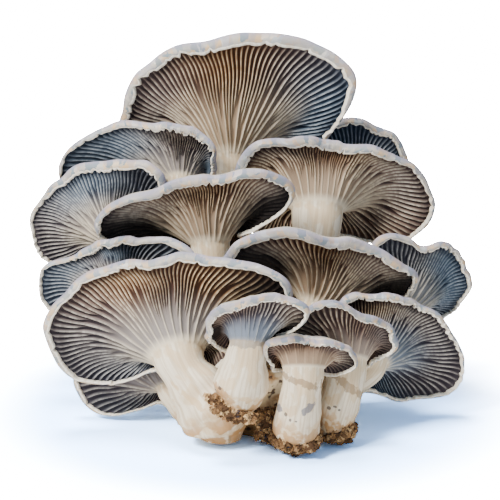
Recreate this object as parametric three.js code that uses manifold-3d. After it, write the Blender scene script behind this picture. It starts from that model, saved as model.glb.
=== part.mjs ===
// A cluster of blue oyster mushrooms, picked whole: fifteen mushrooms that grow from one fused base.
// Millimetres, +Z up, the gills face the front (-Y). It stands on its base and its cut stem ends.

import * as THREE from 'three';
import { mergeVertices } from 'three/addons/utils/BufferGeometryUtils.js';
import Module from 'manifold-3d';

const wasm = await Module();
wasm.setup();

const TURN = 2 * Math.PI;
const UP = new THREE.Vector3(0, 0, 1);

// The middle of the cluster's footprint, moved to the origin.
const MIDDLE = new THREE.Vector3(0, 49, 0);

// The gap left between a piece and the neighbour it is cut round.
const GAP = 0.3;

// One mushroom a row. hub is the middle of the gill disc, face is the way its gills look (azimuth from
// the front and elevation, in degrees), and reach is the cap's rim seen from the front, measured from
// the hub at the twelve hours of a clock, from 12 onwards. cup is how far the rim curls forward at the
// top, right, bottom and left. The stem leaves the hub along the gill side, neck mm high, leans nod
// degrees towards its foot, bows forward, and radii are its radius from the neck down to the foot.
const MUSHROOMS = [
  {
    name: 'top_mushroom', shade: '#8f7f72', gills: 32, flesh: 8, roll: 1.3,
    hub: [-10, 106, 119], face: [0, -15], cup: [7, 8, 5, 9], wave: 1.3, phase: 0.4,
    reach: [54, 62, 67, 46, 31, 25, 22, 25, 34, 50, 55, 54],
    neck: 14, nod: 42, bow: 0.25, foot: [-2, 84, 6], radii: [8.2, 7, 6.5, 6],
  },
  {
    name: 'upper_left_mushroom', shade: '#7f8088', gills: 24, flesh: 7, roll: 1.2,
    hub: [-31, 84, 108], face: [-12, -22], cup: [6, 6, 5, 8], wave: 1.1, phase: 1.7,
    reach: [27, 26, 21, 17, 16, 16, 18, 24, 43, 59, 44, 33],
    neck: 9, nod: 26, bow: 0.15, foot: [-19, 77, 6], radii: [6.5, 6, 6, 6],
  },
  {
    name: 'left_mushroom', shade: '#7d8189', gills: 24, flesh: 7, roll: 1.2,
    hub: [-62, 81, 80], face: [-20, -12], cup: [6, 6, 5, 7], wave: 1.1, phase: 2.9,
    reach: [35, 43, 37, 24, 20, 18, 20, 28, 39, 43, 36, 36],
    neck: 10, nod: 42, bow: 0.2, foot: [-27, 62, 6], radii: [6.5, 6, 6, 6],
  },
  {
    name: 'middle_left_mushroom', shade: '#8a7b70', gills: 28, flesh: 8, roll: 1.3,
    hub: [-19, 55, 92], face: [0, -35], cup: [6, 9, 4, 10], wave: 1.3, phase: 3.6,
    reach: [32, 43, 46, 18, 20, 21, 22, 26, 38, 52, 43, 33],
    neck: 14, nod: 36, bow: 0.3, foot: [-12, 50, 6], radii: [9, 7, 6.5, 6],
  },
  {
    name: 'low_left_mushroom', shade: '#7b7f86', gills: 20, flesh: 7, roll: 1.1,
    hub: [-58, 49, 63], face: [-22, -14], cup: [6, 6, 5, 7], wave: 1, phase: 4.8,
    reach: [25, 29, 46, 37, 22, 18, 19, 28, 42, 40, 26, 22],
    neck: 11, nod: 42, bow: 0.2, foot: [-27, 48, 6], radii: [6.5, 6, 6, 6],
  },
  {
    name: 'front_left_mushroom', shade: '#86807c', gills: 32, flesh: 8, roll: 1.4,
    hub: [-35, 16, 50], face: [-6, -12], cup: [8, 9, 6, 9], wave: 1.4, phase: 5.5,
    reach: [40, 45, 61, 42, 27, 25, 22, 24, 50, 55, 49, 41],
    neck: 15, nod: 38, bow: 0.35, foot: [-13, 2, 3], radii: [11.5, 10.5, 12.5, 16, 16, 9.5],
  },
  {
    name: 'bottom_left_mushroom', shade: '#74706c', gills: 20, flesh: 6, roll: 1,
    hub: [-38, 29, 24], face: [-15, -5], cup: [5, 5, 4, 6], wave: 0.8, phase: 0.9,
    reach: [10, 11, 12, 13, 15, 15, 15, 18, 40, 41, 22, 13],
    neck: 7, nod: 55, bow: 0.2, foot: [-28, 23, 2], radii: [6, 6, 6.5, 5],
  },
  {
    name: 'upper_right_mushroom', shade: '#8d8075', gills: 28, flesh: 8, roll: 1.3,
    hub: [32, 85, 101], face: [8, -22], cup: [6, 8, 6, 9], wave: 1.3, phase: 2.2,
    reach: [26, 28, 38, 52, 57, 36, 25, 25, 27, 41, 43, 35],
    neck: 15, nod: 38, bow: 0.35, foot: [20, 66, 6], radii: [12, 9.5, 7.5, 6.5],
  },
  {
    name: 'back_right_mushroom', shade: '#7f8389', gills: 20, flesh: 7, roll: 1.1,
    hub: [46, 121, 89], face: [12, -16], cup: [5, 6, 4, 6], wave: 1, phase: 3.1,
    reach: [40, 37, 34, 30, 24, 18, 17, 18, 20, 20, 27, 37],
    neck: 10, nod: 42, bow: 0.25, foot: [14, 90, 6], radii: [7, 6, 6, 6],
  },
  {
    name: 'right_mushroom', shade: '#7f848b', gills: 20, flesh: 7, roll: 1.1,
    hub: [73, 73, 50], face: [22, -14], cup: [6, 6, 5, 6], wave: 1, phase: 4.1,
    reach: [29, 31, 31, 30, 26, 18, 17, 19, 20, 20, 31, 39],
    neck: 11, nod: 42, bow: 0.25, foot: [34, 48, 6], radii: [7, 6, 6, 6],
  },
  {
    name: 'middle_right_mushroom', shade: '#877a70', gills: 28, flesh: 8, roll: 1.3,
    hub: [35, 46, 64], face: [2, -38], cup: [5, 8, 4, 12], wave: 1.3, phase: 5.1,
    reach: [38, 35, 40, 40, 29, 20, 18, 20, 30, 46, 57, 52],
    neck: 14, nod: 34, bow: 0.3, foot: [10, 24, 6], radii: [8.5, 7.5, 6.5, 6.5],
  },
  {
    name: 'bottom_right_mushroom', shade: '#7e7b7a', gills: 24, flesh: 9, roll: 1.3,
    hub: [55, 28, 39], face: [18, -6], cup: [6, 7, 6, 6], wave: 1.2, phase: 0.2,
    reach: [26, 27, 30, 39, 47, 32, 23, 26, 27, 27, 29, 30],
    neck: 11, nod: 42, bow: 0.3, foot: [32, 30, 6], radii: [8, 7, 6, 6],
  },
  {
    name: 'small_left_mushroom', shade: '#84786f', gills: 20, flesh: 6, roll: 1,
    hub: [0, -14, 60], face: [0, -34], cup: [3, 5, 2, 5], wave: 0.8, phase: 1.2,
    reach: [22, 27, 29, 15, 13, 13.5, 15.5, 17.5, 19, 19, 21, 20],
    neck: 8, nod: 36, bow: 0.35, foot: [-5, -16, 20], radii: [8, 9, 11, 12, 10, 6],
  },
  {
    name: 'small_middle_mushroom', shade: '#84786f', gills: 20, flesh: 5, roll: 1,
    hub: [23, -16, 48], face: [4, -36], cup: [2, 4, 2, 4], wave: 0.8, phase: 2.6,
    reach: [11, 14, 19, 23, 21, 15, 15.5, 14.5, 13.5, 16, 20, 18],
    neck: 7, nod: 34, bow: 0.35, foot: [20, -12, 4], radii: [9, 8.5, 9, 10, 10.5, 7],
  },
  {
    name: 'small_right_mushroom', shade: '#84786f', gills: 20, flesh: 5, roll: 1,
    hub: [43, 4, 46], face: [10, -28], cup: [3, 5, 3, 4], wave: 0.8, phase: 3.9,
    reach: [24, 21, 22, 20, 15.5, 15.5, 15, 15.5, 17.5, 24, 33, 33],
    neck: 8, nod: 36, bow: 0.35, foot: [37, 0, 4], radii: [8.5, 8.5, 9, 9.5, 8.5, 6],
  },
];

// The fused base that the stems grow from. Its spur runs forward to the small stems at the front.
const BASE = { middle: [4, 51], halfWidth: 40, halfDepth: 47, height: 32, columns: 28 };
const SPUR = { towards: 2.65, spread: 0.45, reach: 0.2 };

// Brown lumps of growing medium on the stem ends and the base, each cut to fit round its neighbours.
const LUMPS = [
  {
    name: 'crumbs_small_left', at: [-8.5, -24, 25], size: [10, 6, 5.5], seed: 3,
    clearOf: ['small_left_mushroom', 'front_left_mushroom'],
  },
  {
    name: 'crumbs_small_middle', at: [20.5, -13, 8], size: [12, 10.5, 7], seed: 5,
    clearOf: ['small_middle_mushroom'],
  },
  {
    name: 'crumbs_small_right', at: [39, -0.5, 8], size: [9.5, 9, 7], seed: 8,
    clearOf: ['small_right_mushroom'],
  },
  {
    name: 'crumbs_base', at: [9, 0, 9], size: [6.5, 6.5, 9], seed: 13,
    clearOf: ['front_left_mushroom', 'small_left_mushroom', 'small_middle_mushroom'],
  },
];

// How high a gill stands over the valley beside it, and the length below which a gill is lower.
const RIDGE = 2.8;
const GILL_ROOM = 16;

// How far out from the neck each ring of points stands: the flare of the stem, the gills and the top.
const FLARE_RING = 0.1;
const GILL_RINGS = [0.26, 0.6, 0.93];
const TOP_RINGS = [0.8, 0.5];

// The rolled rim is an oval, this many times as deep as it is wide, with its points at these angles
// from the lip round to the back of the cap.
const RIM_DEPTH = 1.9;
const RIM_ANGLES = [1.9, 0.5, -1.1];

// How many lengths a stem has, and the share of its height that its foot points straight down for.
const STEM_SPANS = 8;
const FOOT_DROP = 0.4;

// How far a stem's foot bulges past its last ring, as a share of its radius, and where in the cap the
// stem ends, as a share of the neck's height.
const FOOT_DOME = 0.35;
const ROOT = 0.4;

// The value at angle phi of numbers that stand evenly round a circle, on a smooth closed curve.
function roundClock(values, phi) {
  const count = values.length;
  const place = ((phi / TURN) % 1 + 1) % 1 * count;
  const first = Math.floor(place);
  const part = place - first;
  const at = (step) => values[(first + step + count) % count];
  const [a, b, c, d] = [at(-1), at(0), at(1), at(2)];
  return b + 0.5 * part * (c - a + part * (2 * a - 5 * b + 4 * c - d + part * (3 * (b - c) + d - a)));
}

// The value at part (0 to 1) of the way through a list, on a smooth open curve.
function along(values, part) {
  const place = part * (values.length - 1);
  const first = Math.min(Math.floor(place), values.length - 2);
  const ease = place - first;
  const smooth = ease * ease * (3 - 2 * ease);
  return values[first] + (values[first + 1] - values[first]) * smooth;
}

// The directions of a cap: right and up in the plane of its rim, and out of its gills.
function capAxes(face) {
  const [azimuth, elevation] = face.map(THREE.MathUtils.degToRad);
  const out = new THREE.Vector3(
    Math.sin(azimuth) * Math.cos(elevation),
    -Math.cos(azimuth) * Math.cos(elevation),
    Math.sin(elevation),
  );
  const up = UP.clone().addScaledVector(out, -out.z).normalize();
  const right = new THREE.Vector3().crossVectors(up, out);
  return { right, up, out };
}

// Rings of points joined into one closed skin. Each ring has as many points as the one before it,
// or twice or half as many.
class Skin {
  constructor() {
    this.points = [];
    this.faces = [];
    this.last = null;
  }

  add(point) {
    this.points.push(point.x, point.y, Math.max(point.z, 0));
    return this.points.length / 3 - 1;
  }

  pole(point) {
    const tip = this.add(point);
    if (this.last) {
      this.last.forEach((corner, i) => {
        this.faces.push(corner, this.last[(i + 1) % this.last.length], tip);
      });
    }
    this.last = [tip];
  }

  ring(count, pointAt) {
    const next = [];
    for (let i = 0; i < count; i += 1) {
      next.push(this.add(pointAt(TURN * i / count, i)));
    }
    this.bridge(this.last, next);
    this.last = next;
  }

  bridge(low, high) {
    const steps = Math.min(low.length, high.length) === 1
      ? high.length
      : Math.min(low.length, high.length);
    for (let i = 0; i < steps; i += 1) {
      const corner = (ring, half) => ring[Math.round((i + half) * ring.length / steps) % ring.length];
      const [a, b] = [corner(low, 0), corner(low, 1)];
      const [c, d] = [corner(high, 0), corner(high, 1)];
      if (low.length === 1) {
        this.faces.push(low[0], d, c);
      } else if (low.length < high.length) {
        const middle = corner(high, 0.5);
        this.faces.push(a, middle, c, a, b, middle, b, d, middle);
      } else if (low.length > high.length) {
        const middle = corner(low, 0.5);
        this.faces.push(a, middle, c, middle, d, c, middle, b, d);
      } else {
        this.faces.push(a, b, d, a, d, c);
      }
    }
  }
}

// The shape of one cap: where its neck is, and the points of its gills, its rim and its top.
function capShape(m) {
  const { right, up, out } = capAxes(m.face);
  const hub = new THREE.Vector3(...m.hub);
  const radius = m.radii[0];

  const aim = new THREE.Vector3(...m.foot).sub(hub);
  const lean = aim.addScaledVector(out, -aim.dot(out)).normalize();
  const axis = new THREE.Vector3().crossVectors(out, lean);
  const nod = THREE.MathUtils.degToRad(m.nod);
  const tilted = (share) => new THREE.Quaternion().setFromAxisAngle(axis, nod * share);
  const spoke = (phi) => right.clone().multiplyScalar(Math.sin(phi)).addScaledVector(up, Math.cos(phi));
  const start = out.clone().applyQuaternion(tilted(1));
  const neck = hub.clone().addScaledVector(start, m.neck);

  const ripple = (phi) => 0.6 * Math.sin(7 * phi + m.phase) + 0.4 * Math.sin(12 * phi + 2.3 * m.phase);
  const rim = (phi) => roundClock(m.reach, phi) + m.wave * ripple(phi);
  const curl = (phi) => roundClock(m.cup, phi) + m.wave * Math.sin(5 * phi + 1.7 * m.phase);
  const lip = (phi) => rim(phi) - 2 * m.roll;
  const room = (phi) => Math.min((lip(phi) - radius) / GILL_ROOM, 1);

  // A point of the cap, share of the way from the neck to the lip, and its height over the gill disc.
  const capPoint = (phi, share, reach, height) => {
    const point = spoke(phi).multiplyScalar(reach).addScaledVector(out, height);
    return point.applyQuaternion(tilted((1 - share) ** 1.5)).add(hub);
  };
  const gillPoint = (phi, share, relief) => {
    const reach = radius + (lip(phi) - radius) * share;
    const flare = m.neck * (1 - share) ** 3;
    return capPoint(phi, share, reach, flare + curl(phi) * share ** 2 + relief * room(phi));
  };
  const rimPoint = (phi, angle) => {
    const reach = rim(phi) - m.roll + m.roll * Math.cos(angle);
    return capPoint(phi, 1, reach, curl(phi) + RIM_DEPTH * m.roll * Math.sin(angle));
  };
  const topPoint = (phi, share) => {
    const edge = RIM_DEPTH * m.roll * Math.sin(-RIM_ANGLES[2]);
    const fall = 2 + 4 * (1 - room(phi));
    const depth = edge + (m.flesh - edge) * (1 - share ** fall);
    const reach = (rim(phi) - m.roll) * share;
    const height = curl(phi) * share ** 2 - depth;
    return spoke(phi).multiplyScalar(reach).addScaledVector(out, height).add(hub);
  };
  return { hub, start, neck, tilted, spoke, gillPoint, rimPoint, topPoint };
}

// The rings of a stem, from the neck down: the middle, the turn and the radius of each.
function stemRings(m, { start, neck, tilted }) {
  const foot = new THREE.Vector3(...m.foot);
  const span = neck.distanceTo(foot);
  const line = new THREE.CubicBezierCurve3(
    neck,
    neck.clone().addScaledVector(start, m.bow * span),
    foot.clone().addScaledVector(UP, FOOT_DROP * span),
    foot,
  );
  const rings = [];
  const turn = tilted(1);
  let heading = start.clone();
  for (let i = 0; i <= STEM_SPANS; i += 1) {
    const part = i / STEM_SPANS;
    const next = line.getTangent(part);
    turn.premultiply(new THREE.Quaternion().setFromUnitVectors(heading, next));
    heading = next;
    rings.push({ at: line.getPoint(part), turn: turn.clone(), heading, radius: along(m.radii, part) });
  }
  return rings;
}

function stemRing(skin, m, { spoke }, { at, turn, radius }) {
  skin.ring(m.gills / 2, (phi) => spoke(phi).multiplyScalar(radius).applyQuaternion(turn).add(at));
}

// The closed skin of a stem, from its foot up to the neck and on to a point inside the cap.
function stemSkin(m) {
  const shape = capShape(m);
  const rings = stemRings(m, shape);
  const end = rings[STEM_SPANS];
  const skin = new Skin();
  skin.pole(end.at.clone().addScaledVector(end.heading, FOOT_DOME * end.radius));
  for (const ring of rings.reverse()) {
    stemRing(skin, m, shape, ring);
  }
  skin.pole(shape.hub.clone().addScaledVector(shape.start, ROOT * m.neck));
  return skin;
}

// The closed skin of a cap, from a point inside the stem out over the gills, round the rim and back
// over the top.
function capSkin(m) {
  const shape = capShape(m);
  const { gillPoint, rimPoint, topPoint } = shape;
  const rings = stemRings(m, shape);
  const fine = 2 * m.gills;
  const skin = new Skin();
  skin.pole(rings[1].at);
  stemRing(skin, m, shape, rings[0]);
  skin.ring(m.gills, (phi) => gillPoint(phi, FLARE_RING, 0));
  for (const share of GILL_RINGS) {
    skin.ring(fine, (phi, i) => gillPoint(phi, share, (i % 2 === 0 ? 0.5 : -0.5) * RIDGE));
  }
  skin.ring(m.gills, (phi) => gillPoint(phi, 1, 0));
  for (const angle of RIM_ANGLES) {
    skin.ring(m.gills, (phi) => rimPoint(phi, angle));
  }
  skin.ring(m.gills, (phi) => topPoint(phi, TOP_RINGS[0]));
  skin.ring(m.gills / 2, (phi) => topPoint(phi, TOP_RINGS[1]));
  skin.pole(topPoint(0, 0));
  return skin;
}

// The fused base: a broad low knobbly mound with a flat underside. grow makes it larger all round.
function baseSkin(grow) {
  const { middle, halfWidth, halfDepth, height, columns } = BASE;
  const levels = [[0.3, 1], [0.62, 0.92], [0.9, 0.66], [1, 0.3], [0.9, 0]];
  const pointAt = (phi, share, rise) => {
    const spur = SPUR.reach * Math.exp(-(((phi - SPUR.towards) / SPUR.spread) ** 2));
    const knob = 1 + spur + 0.05 * Math.sin(5 * phi + 0.7) + 0.03 * Math.sin(9 * phi + 4 * rise);
    const x = middle[0] + Math.sin(phi) * (halfWidth * share * knob + grow);
    const y = middle[1] + Math.cos(phi) * (halfDepth * share * knob + grow);
    const z = rise * (height + 1.5 * Math.sin(3 * phi + 1) + grow);
    return new THREE.Vector3(x, y, z);
  };
  const skin = new Skin();
  skin.pole(new THREE.Vector3(middle[0], middle[1], height + 1 + grow));
  for (const [share, rise] of levels) {
    skin.ring(columns, (phi) => pointAt(phi, share, rise));
  }
  skin.pole(new THREE.Vector3(middle[0], middle[1], 0));
  return skin;
}

// A lump of crumbs round a stem end, its skin raised into coarse grains.
function lumpSkin({ at, size, seed }) {
  const columns = 14;
  const levels = [0.82, 0.45, 0, -0.45, -0.82];
  const skin = new Skin();
  const middle = new THREE.Vector3(...at);
  const pointAt = (phi, level) => {
    const grain = 1 + 0.16 * Math.sin(5 * phi + seed + 9 * level) * Math.cos(7 * level + 3 * phi);
    const across = Math.sqrt(1 - level * level) * grain;
    return new THREE.Vector3(
      middle.x + Math.sin(phi) * across * size[0],
      middle.y + Math.cos(phi) * across * size[1],
      middle.z + level * size[2],
    );
  };
  skin.pole(pointAt(0, 1));
  for (const level of levels) {
    skin.ring(columns, (phi) => pointAt(phi, level));
  }
  skin.pole(pointAt(0, -1));
  return skin;
}

// A closed skin as a solid that can be cut, and back again as a geometry.
function solidOf(skin) {
  const geometry = new THREE.BufferGeometry();
  geometry.setAttribute('position', new THREE.Float32BufferAttribute(skin.points, 3));
  geometry.setIndex(skin.faces);
  const merged = mergeVertices(geometry, 1e-4);
  return new wasm.Manifold(new wasm.Mesh({
    numProp: 3,
    vertProperties: new Float32Array(merged.attributes.position.array),
    triVerts: new Uint32Array(merged.index.array),
  }));
}

function geometryOf(solid) {
  const mesh = solid.getMesh();
  const geometry = new THREE.BufferGeometry();
  geometry.setAttribute('position', new THREE.Float32BufferAttribute(mesh.vertProperties, 3));
  geometry.setIndex(new THREE.Uint32BufferAttribute(mesh.triVerts, 1));
  geometry.computeVertexNormals();
  return geometry;
}

// The largest body of a cut solid: a sliver left on the far side of a cut is dropped.
function largest(solid) {
  return solid.decompose().sort((a, b) => b.volume() - a.volume())[0];
}

const cluster = new THREE.Group();

function addPiece(name, solid, colour, roughness) {
  const material = new THREE.MeshStandardMaterial({ color: colour, roughness, metalness: 0 });
  const piece = new THREE.Mesh(geometryOf(solid), material);
  piece.name = name;
  piece.position.copy(MIDDLE).negate();
  cluster.add(piece);
}

// One mushroom: its cap and its stem joined into one body of flesh.
function mushroomSolid(m) {
  return solidOf(capSkin(m)).add(solidOf(stemSkin(m)));
}

// A mushroom grown by the gap on every side, to cut room for it in a neighbour.
function grown(m) {
  return mushroomSolid({ ...m, radii: m.radii.map((radius) => radius + GAP) });
}

const roomForBase = solidOf(baseSkin(GAP));
const byName = new Map(MUSHROOMS.map((m) => [m.name, m]));
for (const m of MUSHROOMS) {
  let solid = mushroomSolid(m).subtract(roomForBase);
  if (m.name === 'small_left_mushroom') {
    solid = solid.subtract(grown(byName.get('front_left_mushroom')));
  }
  addPiece(m.name, largest(solid), m.shade, 0.75);
}
addPiece('fused_base', solidOf(baseSkin(0)), '#d9cbb0', 0.8);
for (const lump of LUMPS) {
  let solid = solidOf(lumpSkin(lump)).subtract(roomForBase);
  for (const name of lump.clearOf) {
    solid = solid.subtract(grown(byName.get(name)));
  }
  addPiece(lump.name, largest(solid), '#6f5236', 0.95);
}

export default cluster;
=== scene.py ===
# %% [markdown]
# # A cluster of oyster mushrooms
#
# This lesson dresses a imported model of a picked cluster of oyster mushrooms. Each mushroom is one skin
# that runs from its foot up the stem, out over the gills, round the rim and back over the cap. The
# solids carry the same skin with few faces. Here it is built again, much finer, from the same sizes.

# %% Load the frame
import math

import bpy
import numpy as np
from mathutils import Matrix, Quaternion, Vector


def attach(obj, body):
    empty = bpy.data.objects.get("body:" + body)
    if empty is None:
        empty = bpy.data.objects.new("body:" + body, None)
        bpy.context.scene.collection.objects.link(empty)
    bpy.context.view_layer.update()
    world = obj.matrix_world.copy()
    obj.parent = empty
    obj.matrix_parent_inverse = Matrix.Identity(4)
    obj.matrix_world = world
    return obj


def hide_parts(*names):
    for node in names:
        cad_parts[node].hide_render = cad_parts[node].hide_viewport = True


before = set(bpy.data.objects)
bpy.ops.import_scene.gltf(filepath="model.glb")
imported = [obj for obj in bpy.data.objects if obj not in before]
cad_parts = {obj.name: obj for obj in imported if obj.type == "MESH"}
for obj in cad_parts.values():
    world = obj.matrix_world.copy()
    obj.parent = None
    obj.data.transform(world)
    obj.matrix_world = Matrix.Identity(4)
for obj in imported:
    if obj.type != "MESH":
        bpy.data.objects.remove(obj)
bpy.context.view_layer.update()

MM = 0.001
TURN = 2 * math.pi
UP = Vector((0, 0, 1))
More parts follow.
